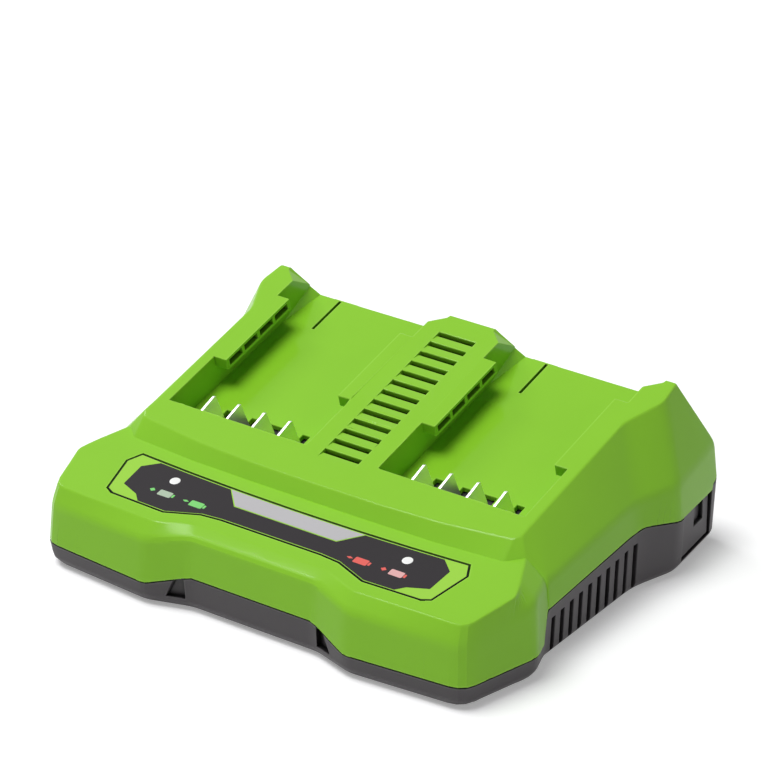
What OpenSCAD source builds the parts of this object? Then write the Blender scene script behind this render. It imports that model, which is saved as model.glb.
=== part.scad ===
// Twin-bay battery charger: a faceted two-part moulded housing with two slide-on battery bays,
// contact blades, a status panel and the power supply that feeds them.
// X runs across the width, Y from the front to the rear, Z up from the surface it stands on.

/* [Housing outline] */
// Overall width across the rear hips
body_w = 217.2; // [213:0.2:222]
// Overall depth from the front lobes to the rear wall
body_d = 171.6; // [169:0.2:176]
// Width across the front corners
front_w = 194.6; // [190:0.2:198]
// Width across the shoulders
shoulder_w = 213.4; // [210:0.2:216]
// Width at the vented waist
waist_w = 204.6; // [202:0.2:206]
// Width of the rear wall
tail_w = 209; // [206:0.2:212]
// Width of the recessed nose between the two front lobes
nose_w = 94; // [88:0.5:100]
// Depth of the nose recess
nose_d = 5.6; // [4:0.1:8]
// Length of each slanted flank of the nose, across the width
nose_flank = 18; // [14:0.5:22]
// Distance from the front to the shoulders
shoulder_at = 39.4; // [38:0.2:41]
// Distance from the front to the start of the waist
waist_at = 52.4; // [51:0.2:54]
// Length of the waist
waist_len = 63.8; // [61:0.2:66]
// Distance from the front to the hips
hip_at = 136; // [133:0.2:139]
// Wall thickness of both shells
wall = 2.4; // [2:0.1:2.8]

/* [Housing heights] */
// Height of the lobe wall below its slope
lobe_wall_h = 25.2; // [23:0.1:27]
// Height of the nose wall below its slope
nose_wall_h = 30.5; // [29:0.1:32]
// Height of the side wall at the start of the waist
waist_wall_h = 32.7; // [31:0.1:34]
// Height of the side wall at the hips
hip_wall_h = 37.8; // [36:0.1:39]
// Height of the rear wall below the back slope
rear_wall_h = 43; // [41:0.1:44]
// Height of the front ledge plane, measured at the bays' front wall
ledge_h = 42.7; // [41.5:0.1:44]
// Slope of the front ledge, in degrees
ledge_tilt = 9.87; // [9:0.01:10.5]
// Set-back of the ledge edge from the front wall
brow_d = 7.2; // [6:0.1:8]
// Height of the deck plane, measured at the bays' front wall
deck_h = 49.1; // [48:0.1:50.5]
// Slope of the deck, in degrees
deck_tilt = 13.59; // [12.5:0.01:14.5]
// Inward lean of the upper walls, from the seam to their slopes
wall_draft = 1.2; // [0.8:0.1:1.6]
// Inward lean of the lower walls, from the seam to the underside
base_draft = 0.8; // [0.4:0.1:1.2]
// Length of the soft crease between the walls and their slopes
crease_round = 2.6; // [1.5:0.1:3.2]
// Length of the rounding along the ledge and deck edges
edge_round = 0.9; // [0.5:0.1:1.2]

/* [Seam between the shells] */
// Height of the seam under the nose
seam_nose_h = 14.2; // [13:0.1:15]
// Height of the seam under the lobes
seam_lobe_h = 8.8; // [8:0.1:10]
// Height of the seam at the start of the waist
seam_waist_h = 21.4; // [20.5:0.1:22.5]
// Height of the seam at the end of the waist
seam_waist_end_h = 26.5; // [25.5:0.1:28]
// Height of the seam at the hips
seam_hip_h = 22.4; // [22:0.1:24]
// Height of the seam across the rear
seam_rear_h = 26.7; // [25.5:0.1:28]
// Height of the locating tongue above the seam
tongue_h = 2; // [1.5:0.1:2.5]
// Thickness of the locating tongue
tongue_t = 1.2; // [1:0.1:1.4]
// Height of the shadow gap along the seam
seam_gap = 0.5; // [0.3:0.1:0.7]
// Depth of the shadow gap along the seam
seam_gap_d = 0.9; // [0.6:0.1:1.2]

/* [Deck] */
// Width of the deck over the bays
deck_w = 176.2; // [174:0.2:179]
// Width of the deck at its rear posts
deck_tail_w = 188; // [185:0.2:191]
// Width of the deck at its widest point
deck_hip_w = 190.8; // [188:0.2:193]
// Reach of the deck in front of the bays' front wall
deck_lead = 17.4; // [16:0.1:19]
// Distance from the bays' front wall to the back edge of the deck
deck_run = 89.3; // [87:0.1:91]
// Horizontal run of the step between ledge and deck
step_run = 3.6; // [3:0.1:4.5]

/* [Battery bays] */
// Distance from the front of the housing to the bays' front wall
bay_at = 65.1; // [64:0.1:66.5]
// Distance between the centres of the two bays
bay_pitch = 100; // [99:0.1:101]
// Width of a bay between its side walls
bay_w = 66.2; // [65:0.1:67]
// Depth of a bay below the deck
bay_depth = 13.8; // [13:0.1:14.4]
// Thickness of a bay's floor
bay_floor_t = 2.4; // [2:0.1:2.8]
// Distance along the deck from the front wall to the flare at the rear end of a bay
flare_at = 84.6; // [82:0.1:86]
// Width of the flare on each side of a bay
flare_w = 6; // [5:0.1:6.5]
// Distance along the deck from the front wall to the guide rails
rail_at = 30.1; // [28:0.1:32]
// Length of a guide rail
rail_len = 43.8; // [41:0.1:46]
// Overhang of a guide rail over the bay
rail_over = 5.9; // [5:0.1:6.5]
// Thickness of a guide rail
rail_t = 5; // [4.5:0.1:5.5]
// Number of pockets in the face of a guide rail
rail_pockets = 4; // [3:1:5]
// Depth of a rail pocket
pocket_d = 4.4; // [3:0.1:5]
// Width of the slit in a bay's floor
slit_w = 1.3; // [1:0.1:1.6]

/* [Contact blades] */
// Number of contact blades in a bay
blade_count = 4; // [3:1:5]
// Distance between neighbouring blades
blade_pitch = 12.35; // [11.5:0.05:13]
// Thickness of a blade
blade_t = 1; // [0.8:0.1:1.2]
// Distance of a blade's top edge below the deck
blade_drop = 1.6; // [1.2:0.1:2.4]
// Length of a blade's top edge
blade_top = 9; // [7:0.1:10]
// Length of a blade where it leaves the floor
blade_foot = 12; // [11:0.1:13.5]
// Rise of a blade's top edge towards the rear, above the slope of the deck
blade_rise = 1; // [0:0.1:1.2]
// Clearance round a blade in the floor
blade_gap = 1.2; // [0.8:0.1:1.5]

/* [Vents] */
// Number of slots in the island between the bays
island_slots = 13; // [11:1:13]
// Distance between neighbouring island slots, along the deck
island_pitch = 6.615; // [6.4:0.005:6.7]
// Length of an island slot across the width
island_slot_len = 17.4; // [16:0.1:19]
// Width of every vent slot in the island
island_slot_w = 1.9; // [1.6:0.1:2.4]
// Depth of the slope behind every island slot
louvre_d = 0.7; // [0.4:0.1:1]
// Number of slots in each side wall
side_slots = 10; // [8:1:10]
// Distance between neighbouring side slots
side_pitch = 6.35; // [6:0.05:6.5]
// Width of a side slot
side_slot_w = 2.7; // [2.2:0.1:3]
// Height of a side slot's lower end above the underside
side_slot_z = 1.4; // [1.2:0.1:3]
// Distance of a side slot's upper end below the seam
side_slot_drop = 5.2; // [4:0.1:6]

/* [Status panel] */
// Width of the panel at its rear corners
panel_w = 153.2; // [150:0.2:156]
// Width of the panel at its widest point
panel_mid_w = 159.8; // [157:0.2:163]
// Depth of the panel from its rear edge to its front corners
panel_d = 26.6; // [25:0.1:28]
// Distance from the bays' front wall to the panel's rear edge
panel_at = 25.8; // [25:0.1:27]
// Thickness of the panel sheet
panel_t = 0.5; // [0.4:0.05:0.6]
// Depth of the recess that holds the sheet
panel_recess = 0.6; // [0.6:0.05:0.8]
// Width of the groove round the panel sheet
panel_gap = 0.5; // [0.3:0.05:0.7]
// Distance between the two indicator lenses
lens_pitch = 108.4; // [106:0.2:111]
// Diameter of an indicator lens
lens_d = 4.8; // [4:0.1:5.5]
// Clearance round a lens
lens_gap = 0.1; // [0.05:0.01:0.2]

/* [Fasteners and feet] */
// Diameter of a case screw's shank
screw_d = 3.5; // [3:0.1:4]
// Diameter of a case screw's head
screw_head_d = 6.8; // [6:0.1:7]
// Diameter of a screw boss
boss_d = 8.6; // [8:0.1:9]
// Height at which the two shells' bosses meet
boss_split = 14; // [12:0.1:16]
// Diameter of a rubber foot
foot_d = 12; // [10:0.1:14]
// Height of a foot below the housing
foot_proud = 1.2; // [1:0.1:1.6]
// Depth of a foot's recess in the housing
foot_recess = 1; // [0.8:0.1:1.2]
// Distance between the two wall-hanging keyholes
keyhole_pitch = 120; // [110:1:130]
// Diameter of a keyhole's entry
keyhole_d = 9; // [8:0.1:10]
// Width of a keyhole's neck
keyhole_neck = 4.6; // [4.2:0.1:5]

/* [Power supply] */
// Thickness of the housing's floor
floor_t = 2.6; // [2.2:0.1:3]
// Height of the main board's underside above the housing's underside
board_z = 9.6; // [9:0.1:10.5]
// Thickness of the circuit boards
board_t = 1.6; // [1.2:0.1:2]
// Width of the main board
board_w = 172; // [168:1:174]
// Distance from the front of the housing to the main board
board_from = 32; // [31:0.5:36]
// Distance from the main board to the rear of the housing
board_rear = 9.6; // [9:0.2:12]
// Diameter of the bore in the cord gland
cord_d = 7.2; // [6.6:0.1:8]

/* [Hidden] */
$fn = 40;

eps = 0.01;
margin = 20;
fit_gap = 0.15;
bend_steps = 3;
edge_steps = 4;

// Reference lines along the depth
y_front = -body_d / 2;
y_rear = body_d / 2;
y_bay = y_front + bay_at;
y_waist = y_front + waist_at;
y_waist_end = y_waist + waist_len;
y_hip = y_front + hip_at;
y_shoulder = y_front + shoulder_at;
y_deck_back = y_bay + deck_run;

// Heights of the sloping planes above a point at depth y
function ledge_z(y) = ledge_h + tan(ledge_tilt) * (y - y_bay);
function deck_z(y) = deck_h + tan(deck_tilt) * (y - y_bay);
// Distance along the deck of a point that lies y behind the bays' front wall
function along_deck(y) = y / cos(deck_tilt);

// Corner setbacks of the outline
small_bend = 3;
wide_bend = 6;

// Set-backs of the ledge and deck edges from the wall below them
front_corner_at = 3.9;
corner_brow = 4.3;
corner_inset = 2.1;
lobe_inset = 2;
flank_at = 26;
flank_inset = 1.4;
flank_step = 5.4;
shoulder_inset = 7.5;
shoulder_step = 1.6;
cheek_inset = 9.6;
cheek_y = y_bay - 13.4;
hood_y = y_bay + 5;
hood_wall_inset = 6;
hood_inset = 18;
deck_corner_at = 9.3;
deck_corner = 1.6;
bow_rise = 5.6;
foot_bow_rise = 2.7;
tuck = 0.3;
foot_tuck = 2.4;
cheek_tuck = 0.8;
deck_hip_at = 77.4;
deck_waist_at = 61.1;
// Share of the wall thickness by which the cavity's upper edges move in, and its slopes move down
slope_share = 0.6;
// Level at which the lofted skins of the upper shell end, below the lowest point of the seam
skin_z = 5;

// --- Rings and lofts ------------------------------------------------------------------------------

// A corner is [x, y, z, setback, seam height]; a ring lists corners clockwise from its rear middle
function place(p) = [p.x, p.y, p.z];
function toward(a, b, d) = place(a) + (place(b) - place(a)) * d / norm(place(b) - place(a));
function bend(a, c, b) = [for (i = [0:bend_steps]) let (t = i / bend_steps)
    (1 - t) * (1 - t) * a + 2 * t * (1 - t) * c + t * t * b];
function before(ring, i) = ring[(i + len(ring) - 1) % len(ring)];
function after(ring, i) = ring[(i + 1) % len(ring)];
// Points of a ring: every corner bent over its setback, and every edge between bends split evenly
function corner_points(ring, i) = let (c = ring[i], d = c[3])
    d == 0 ? [place(c)] : bend(toward(c, before(ring, i), d), place(c), toward(c, after(ring, i), d));
function smooth(ring) =
    let (corners = [for (i = [0:len(ring) - 1]) corner_points(ring, i)])
    [for (i = [0:len(ring) - 1]) let (from = corners[i][len(corners[i]) - 1], to = after(corners, i)[0])
        each concat(corners[i],
            [for (step = [1:edge_steps - 1]) from + (to - from) * step / edge_steps])];

// A full ring from the corners of its right half
function both_sides(half) = concat(half, [for (i = [len(half) - 1:-1:0]) let (c = half[i])
    if (c.x > eps) [-c.x, c.y, c.z, c[3], c[4]]]);

// The same ring moved in by d and down by drop
function heading(a, b) = [b.x - a.x, b.y - a.y] / norm([b.x - a.x, b.y - a.y]);
function inset(ring, d, drop = 0) = [for (i = [0:len(ring) - 1])
    let (c = ring[i], u = heading(before(ring, i), c), v = heading(c, after(ring, i)),
        m = [u.y, -u.x], n = [v.y, -v.x], shift = d * (m + n) / (1 + m * n))
    [c.x + shift.x, c.y + shift.y, c.z - drop, c[3], c[4]]];
function at_level(ring, z) = [for (c = ring) [c.x, c.y, z, c[3]]];
function at_seam(ring, raise = 0) = [for (c = ring) [c.x, c.y, c[4] + raise, c[3]]];
function on_plane(ring, kind, drop = 0) = [for (c = ring)
    [c.x, c.y, (kind == "deck" ? deck_z(c.y) : ledge_z(c.y)) - drop, c[3]]];

// Row k of a stack of smoothed rings, rounded by r, which is limited by the rows beside it
function limited(a, b, r) = toward(a, b, min(r, 0.4 * norm(b - a)));
function rounded_row(rows, k, r) =
    let (columns = [for (i = [0:len(rows[k]) - 1]) let (p = rows[k][i])
        bend(limited(p, rows[k - 1][i], r), p, limited(p, rows[k + 1][i], r))])
    [for (step = [0:bend_steps]) [for (column = columns) column[step]]];

// Middle of a ring's points
function middle(ring) = [for (p = ring) 1] * ring / len(ring);

// Solid skin through a stack of rings that have the same corners, each row rounded by its own length
module loft(stack, rounding = []) {
    rows = [for (ring = stack) smooth(ring)];
    rings = [for (k = [0:len(rows) - 1]) let (r = rounding[k])
        each is_undef(r) || r == 0 ? [rows[k]] : rounded_row(rows, k, r)];
    n = len(rings[0]);
    last = len(rings) - 1;
    bottom = len(rings) * n;
    polyhedron(
        points = concat([for (ring = rings) each ring], [middle(rings[0]), middle(rings[last])]),
        faces = [for (i = [0:n - 1]) let (next = (i + 1) % n) each concat(
            [[next, i, bottom], [last * n + i, last * n + next, bottom + 1]],
            [for (k = [0:last - 1]) let (a = k * n + i, b = k * n + next)
                each [[b, b + n, a + n], [b, a + n, a]]]
        )]
    );
}

// --- Outline of the housing -----------------------------------------------------------------------

// Corners of the front half of the wall, from the shoulders to the nose
nose_in_x = nose_w / 2 - nose_flank;
seam_side_h = seam_lobe_h + 0.4;
y_corner = y_front + front_corner_at;
y_flank = y_front + flank_at;
flank_x = front_w / 2 + (shoulder_w - front_w) / 2 * (y_flank - y_corner) / (y_shoulder - y_corner);
front_corners = [
    [waist_w / 2, y_waist, waist_wall_h, small_bend, seam_waist_h],
    [shoulder_w / 2, y_shoulder, waist_wall_h - 1.5, small_bend, seam_side_h],
    [flank_x, y_flank, lobe_wall_h + 0.8, wide_bend, seam_side_h],
    [front_w / 2, y_corner, lobe_wall_h, wide_bend, seam_lobe_h],
    [nose_w / 2, y_front, lobe_wall_h + 1.8, small_bend, seam_lobe_h],
    [nose_in_x, y_front + nose_d, nose_wall_h, small_bend, seam_nose_h],
    [0, y_front + nose_d, nose_wall_h, 0, seam_nose_h],
];
// Corners of the rear half of the wall, from the rear middle to the waist
rear_corners = [
    [0, y_rear, rear_wall_h, 0, seam_rear_h],
    [tail_w / 2, y_rear, rear_wall_h - 1, small_bend, seam_rear_h],
    [body_w / 2, y_hip, hip_wall_h, small_bend, seam_hip_h],
    [waist_w / 2, y_waist_end, hip_wall_h + 0.2, wide_bend, seam_waist_end_h],
];
outline_corners = both_sides(concat(rear_corners, front_corners));

// Plan of the housing, moved in by d
module outline(d = 0) {
    polygon([for (p = smooth(at_level(inset(outline_corners, d), 0))) [p.x, p.y]]);
}

// Front block with the ledge on top; its rear end lies inside the deck block
front_wall_ring = both_sides(concat(
    [
        [0, hood_y, waist_wall_h, 0, seam_waist_h],
        [waist_w / 2 - hood_wall_inset, hood_y, waist_wall_h - hood_wall_inset / 2, 0, seam_waist_h],
    ],
    front_corners
));
ledge_ring = both_sides([
    [0, hood_y, 0, 0],
    [waist_w / 2 - hood_inset, hood_y, 0, 0],
    [waist_w / 2 - cheek_inset, cheek_y, 0, small_bend / 2],
    [shoulder_w / 2 - shoulder_inset, y_shoulder - shoulder_step, 0, small_bend],
    [flank_x - flank_inset, y_flank + flank_step, 0, small_bend / 2],
    [front_w / 2 - corner_inset, y_corner + corner_brow, 0, wide_bend - 1],
    [nose_w / 2 - lobe_inset, y_front + brow_d, 0, small_bend],
    [nose_in_x + lobe_inset, y_front + nose_d + brow_d, 0, small_bend],
    [0, y_front + nose_d + brow_d, 0, 0],
]);

// Deck block: the front edges of foot and deck bow forward towards the middle
function bow(x, lead, rise, power) = y_bay - lead + rise * pow(2 * x / deck_w, power);
function on_deck_edge(x) = let (y = bow(x, deck_lead, bow_rise, 3)) [x, y, deck_z(y)];
function on_step_foot(x) = let (y = bow(x, deck_lead + step_run, foot_bow_rise, 4)) [x, y, ledge_z(y)];
// Corner on the line from a deck edge point to a foot point, beyond the foot by d
function past(top, foot, d, setback = 0) =
    let (p = foot + (foot - top) * d / norm(foot - top)) [p.x, p.y, p.z, setback, seam_waist_h];
bow_stations = [for (share = [0.94, 0.64, 0.33, 0]) share * deck_w / 2];
fold_x = deck_w / 2 - deck_corner;
deck_side = [deck_w / 2 + tuck, y_bay - deck_corner_at];
cheek = [waist_w / 2 - cheek_inset, cheek_y, ledge_z(cheek_y)];
step_corners = concat(
    [
        past([deck_side.x, deck_side.y, deck_z(deck_side.y)], cheek, cheek_tuck, small_bend / 3),
        past(on_deck_edge(fold_x), on_step_foot(fold_x), foot_tuck, small_bend / 3),
    ],
    [for (x = bow_stations) past(on_deck_edge(x), on_step_foot(x), foot_tuck)]
);
deck_walls = concat(rear_corners, [[waist_w / 2, y_waist + tuck, waist_wall_h - tuck, small_bend / 2,
    seam_waist_h]]);
deck_wall_ring = both_sides(concat(deck_walls, step_corners));
deck_crease_ring = let (leaning = inset(deck_wall_ring, wall_draft))
    both_sides(concat([for (i = [0:len(deck_walls) - 1]) leaning[i]], step_corners));
deck_ring = both_sides(concat(
    [
        [0, y_deck_back, 0, 0],
        [deck_tail_w / 2, y_deck_back, 0, small_bend / 3],
        [deck_hip_w / 2, y_bay + deck_hip_at, 0, small_bend],
        [deck_w / 2, y_bay + deck_waist_at, 0, small_bend],
        [deck_w / 2, y_bay - small_bend, 0, small_bend / 2],
        [deck_side.x, deck_side.y, 0, small_bend * 0.3],
        [fold_x, on_deck_edge(fold_x).y, 0, small_bend * 0.3],
    ],
    [for (x = bow_stations) let (p = on_deck_edge(x)) [p.x, p.y, 0, 0]]
));

// Rows of one block of the skin: wall, seam, crease, edge and top face
module block(wall_ring, crease_ring, top_ring, kind) {
    cap_inset = 2;
    cap = [for (c = inset(top_ring, cap_inset)) [c.x, c.y, c.z, c[3] * 0.3]];
    loft([
        at_level(wall_ring, skin_z),
        at_seam(wall_ring),
        crease_ring,
        on_plane(top_ring, kind),
        on_plane(cap, kind),
    ], [0, 0, crease_round, edge_round, 0]);
}

// Cavity of a block, which leaves walls of thickness d and room for the tongue
module block_cavity(wall_ring, crease_ring, top_ring, kind, tilt, d) {
    drop = d * slope_share;
    loft([
        at_level(inset(wall_ring, d), skin_z - d),
        at_seam(inset(wall_ring, d), tongue_h + fit_gap),
        inset(crease_ring, d, drop),
        on_plane(inset(top_ring, drop), kind, d / cos(tilt)),
    ]);
}

front_crease_ring = inset(front_wall_ring, wall_draft);

// Outer skin of the upper shell, closed at the bottom
module skin() {
    block(front_wall_ring, front_crease_ring, ledge_ring, "ledge");
    block(deck_wall_ring, deck_crease_ring, deck_ring, "deck");
}

module cavity() {
    block_cavity(front_wall_ring, front_crease_ring, ledge_ring, "ledge", ledge_tilt, wall);
    block_cavity(deck_wall_ring, deck_crease_ring, deck_ring, "deck", deck_tilt, wall);
}

// Everything below the seam, raised by a given amount
module below_seam(raise = 0) {
    y_split = y_shoulder - small_bend;
    seam_rise = 4.2;
    nose_seam_x = nose_in_x - 1;
    lobe_seam_x = nose_w / 2 - 1;
    reach = body_w / 2 + margin;
    low = -margin;
    right = [[nose_seam_x, seam_nose_h], [lobe_seam_x, seam_lobe_h], [reach, seam_side_h]];
    left = [for (i = [len(right) - 1:-1:0]) [-right[i].x, right[i].y]];
    translate([0, y_split + eps, 0]) rotate([90, 0, 0]) linear_extrude(y_split + eps - y_front + margin)
        polygon(concat([[reach, low], [-reach, low]],
            [for (p = concat(left, right)) [p.x, p.y + raise]]));
    along = [
        [y_split, seam_side_h],
        [y_waist - seam_rise, seam_side_h],
        [y_waist, seam_waist_h - 0.6],
        [y_waist + 1, seam_waist_h],
        [y_waist_end + small_bend, seam_waist_end_h],
        [y_hip + 1, seam_hip_h + 0.4],
        [y_rear - 6, seam_hip_h],
        [y_rear - 5, seam_rear_h - 1.9],
        [y_rear, seam_rear_h],
        [y_rear + margin, seam_rear_h],
    ];
    rotate([90, 0, 90]) linear_extrude(2 * reach, center = true)
        polygon(concat([[y_rear + margin, low], [y_split, low]], [for (p = along) [p.x, p.y + raise]]));
}

// --- Frames of reference --------------------------------------------------------------------------

// Lifts a piece from the housing's underside to the surface that the feet stand on
module stand() {
    translate([0, 0, foot_proud]) children();
}
// X across, Y up the slope, Z out of the deck, from the bays' front wall
module on_deck() {
    translate([0, y_bay, deck_h]) rotate([deck_tilt, 0, 0]) children();
}
// The same frame on the ledge plane
module on_ledge() {
    translate([0, y_bay, ledge_h]) rotate([ledge_tilt, 0, 0]) children();
}
module at_bays() {
    for (side = [-1, 1]) translate([side * bay_pitch / 2, 0, 0]) children();
}
module slab(x0, x1, y0, y1, z0, z1) {
    translate([x0, y0, z0]) cube([x1 - x0, y1 - y0, z1 - z0]);
}

// --- Screws, bosses and feet ----------------------------------------------------------------------

boss_places = [for (side = [-1, 1]) each [
    [side * (front_w / 2 - 9.3), y_front + 16.4],
    [side * (waist_w / 2 - 8.8), y_waist + waist_len / 2 + 2],
    [side * (tail_w / 2 - 8.8), y_rear - 13.4],
]];
foot_places = [for (side = [-1, 1]) each [
    [side * (front_w / 2 - 26), y_front + 17],
    [side * (tail_w / 2 - 26), y_rear - 17],
]];
pilot_gap = 0.05;
clear_gap = 0.3;
screw_head_h = 2.6;
screw_seat_z = 5;
screw_len = 22;
board_screw_d = 2.6;
board_screw_head_d = 5;
board_screw_head_h = 1.8;
board_screw_len = 6;
standoff_d = 7;
board_edge = 5;
y_board = y_front + board_from;
board_d = y_rear - board_rear - y_board;
standoff_places = [for (side = [-1, 1], y = [y_board + board_edge, y_board + board_d - board_edge])
    [side * (board_w / 2 - board_edge), y]];

module at_places(places) {
    for (p = places) translate([p.x, p.y, 0]) children();
}

module case_bosses(from_z) {
    at_places(boss_places) translate([0, 0, from_z]) cylinder(d = boss_d, h = deck_h);
}

// --- Battery bays ---------------------------------------------------------------------------------

bay_run = along_deck(y_rear - y_bay) + margin;
flare_len = 5.4;
cut_above = 12;
// Distance along the bay's floor to the point where the back slope cuts it
back_slope = (deck_z(y_deck_back) - rear_wall_h) / (y_rear - y_deck_back);
y_floor_end = y_deck_back + bay_depth / cos(deck_tilt) / (tan(deck_tilt) + back_slope);
floor_end = (y_floor_end - y_bay - bay_depth * sin(deck_tilt)) / cos(deck_tilt);

gusset_w = 4.2;
gusset_len = 21;

// Slanted facet that widens the right side of a bay towards its rear end
module bay_flare() {
    half = bay_w / 2;
    foot = [half - gusset_w, floor_end, -bay_depth];
    start = [half, flare_at, 0];
    end = [half + flare_w, flare_at + flare_len, 0];
    beyond = cut_above / bay_depth;
    hull() polyhedron(
        points = [foot, start + (start - foot) * beyond, end + (end - foot) * beyond,
            [half + flare_w, bay_run, cut_above], [half - gusset_w, bay_run, cut_above],
            [half + flare_w, bay_run, -bay_depth], [half - gusset_w, bay_run, -bay_depth]],
        faces = [[0, 1, 2], [2, 3, 4], [4, 5, 6]]
    );
}

// Sloped gusset at the foot of the bay's right wall, which grows towards the rear
module bay_gusset() {
    half = bay_w / 2;
    deck_end = along_deck(deck_run);
    share = (deck_end - flare_at) / (deck_end - flare_at + gusset_w * flare_len / flare_w);
    past_end = 2;
    tip = [half, floor_end - gusset_len, -bay_depth];
    foot = [half - gusset_w, floor_end + past_end, -bay_depth];
    top = [half, deck_end + share * (floor_end - deck_end) + past_end, -share * bay_depth];
    corner = [half, floor_end + past_end, -bay_depth];
    polyhedron(points = [tip, foot, top, corner], faces = [[0, 1, 2], [0, 2, 3], [0, 3, 1], [1, 3, 2]]);
}

// A guide rail on the right side of a bay, with a row of pockets in its face
module guide_rail() {
    rib = 1.8;
    lip = 1.1;
    pitch = (rail_len - rib) / rail_pockets;
    inner = bay_w / 2 - rail_over;
    difference() {
        slab(inner, bay_w / 2 + eps, rail_at, rail_at + rail_len, -rail_t, 0);
        for (i = [0:rail_pockets - 1])
            slab(inner - eps, inner + pocket_d, rail_at + rib + i * pitch, rail_at + (i + 1) * pitch,
                lip - rail_t, -lip);
    }
}

// Space of one bay above its floor, less its two guide rails
module bay_space() {
    difference() {
        slab(-bay_w / 2, bay_w / 2, 0, bay_run, -bay_depth, cut_above);
        for (side = [0, 1]) mirror([side, 0, 0]) {
            guide_rail();
            bay_gusset();
        }
    }
    for (side = [0, 1]) mirror([side, 0, 0]) bay_flare();
}

// Material that the cavity leaves round a bay: its floor and walls
module bay_tub() {
    half = bay_w / 2 + wall;
    low = -bay_depth - bay_floor_t;
    slab(-half, half, -wall, bay_run, low, eps);
    slab(-half - flare_w, half + flare_w, flare_at - wall, bay_run, low, eps);
}

slot_front = 0.6;
slot_back = 17.6;
hub_w = 10.4;
slit_x = -19.1;
slit_at = 75.2;

function blade_x(i) = (i - (blade_count - 1) / 2) * blade_pitch;

// Openings in a bay's floor: one slot round each blade, a wider one in the middle, and the rear slit
module bay_floor_cuts() {
    low = -bay_depth - bay_floor_t - 1;
    high = -bay_depth + 1;
    half = blade_t / 2 + blade_gap;
    for (i = [0:blade_count - 1])
        slab(blade_x(i) - half, blade_x(i) + half, slot_front, slot_back, low, high);
    slab(-hub_w / 2, hub_w / 2, slot_front + 2, slot_back, low, high);
    slab(slit_x - slit_w / 2, slit_x + slit_w / 2, slit_at, slit_at + margin, low, high);
}

// Row of slots in the island, each with a shallow slope that leads down into it from the front
module island_vents() {
    reach = island_slot_len / 2;
    half = island_slot_w / 2;
    run = island_pitch - island_slot_w - 1.2;
    for (i = [0:island_slots - 1]) translate([0, 0.5 + i * island_pitch, 0]) {
        slab(-reach, reach, -half, half, -wall - 1, 1);
        rotate([90, 0, 90]) linear_extrude(2 * reach, center = true)
            polygon([[-half - run, 0], [-half, -louvre_d], [half, -louvre_d], [half, 1], [-half - run, 1]]);
    }
}

// --- Status panel ---------------------------------------------------------------------------------

// Distances on the ledge are measured forward of the bays' front wall
panel_back = -panel_at;
panel_front = panel_back - panel_d;
lens_y = -34.7;
mark_places = [[-55.6, -45.6], [-40.3, -44.9], [37.6, -43], [55.7, -43.2]];
window = [7, 3.2];
post_d = 6;
post_places = [[-30, -37.5], [30, -37.5]];
led_gap = 0.3;
led_h = 2.8;
flange_t = 1;
flange_d = lens_d + 2;
indicator_top = -wall - flange_t - led_gap - led_h;
indicator_t = 1.2;

module panel_plan() {
    right = [[panel_w / 2, panel_back], [panel_mid_w / 2, panel_back - 6.6],
        [panel_mid_w / 2 - 4.2, panel_front + 1.9], [panel_mid_w / 2 - 8.2, panel_front],
        [46.2, panel_front - 0.8], [32, panel_front + 4.4], [23, panel_front + 5.2]];
    left = [for (i = [len(right) - 1:-1:0]) [-right[i].x, right[i].y]];
    bowed = [for (x = [-52, -26, 0, 26, 52]) [x, panel_back - 2.4 * (1 - pow(2 * x / panel_w, 2))]];
    polygon(concat(right, left, bowed));
}

module at_lenses(sides = [-1, 1]) {
    for (side = sides) translate([side * lens_pitch / 2, lens_y, 0]) children();
}

// Recess with a deeper groove along its border, lens holes and light windows of the status panel
module panel_cuts() {
    groove_d = 1.2;
    translate([0, 0, -panel_recess]) linear_extrude(cut_above) panel_plan();
    translate([0, 0, -groove_d]) linear_extrude(cut_above) difference() {
        panel_plan();
        offset(delta = -panel_gap) panel_plan();
    }
    at_lenses() translate([0, 0, -wall - 1]) cylinder(d = lens_d + 2 * lens_gap, h = wall + 2);
    for (p = mark_places)
        slab(p.x - window.x / 2, p.x + window.x / 2, p.y - window.y / 2, p.y + window.y / 2, -wall - 1, 1);
}

module indicator_posts() {
    at_places(post_places) translate([0, 0, indicator_top]) cylinder(d = post_d, h = -indicator_top);
}

// --- Shells ---------------------------------------------------------------------------------------

module top_shell() {
    color("yellowgreen") stand() difference() {
        skin();
        difference() {
            below_seam();
            case_bosses(boss_split);
        }
        difference() {
            cavity();
            case_bosses(boss_split);
            on_deck() at_bays() bay_tub();
            on_ledge() indicator_posts();
        }
        on_deck() {
            at_bays() bay_space();
            at_bays() bay_floor_cuts();
            island_vents();
        }
        on_ledge() panel_cuts();
        on_ledge() at_places(post_places) translate([0, 0, indicator_top - 1])
            cylinder(d = board_screw_d + 2 * pilot_gap, h = -indicator_top - wall + 1.4);
        at_places(boss_places) translate([0, 0, boss_split - 1])
            cylinder(d = screw_d + 2 * pilot_gap, h = screw_seat_z + screw_len - boss_split + 2);
    }
}

base_chamfer = 2;
gland_x = -62;
gland_z = 13;
gland_hole_d = 12;
gland_flange_d = 16;
gland_flange_t = 1.4;
gland_collar_t = 2;
gland_recess = gland_flange_t + 0.1;
base_wall = wall + fit_gap + tongue_t;
shroud_h = board_z - floor_t - 1;
shroud_t = 1.2;
keyhole_run = 8;
y_keyhole = y_rear - 70;

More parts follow.
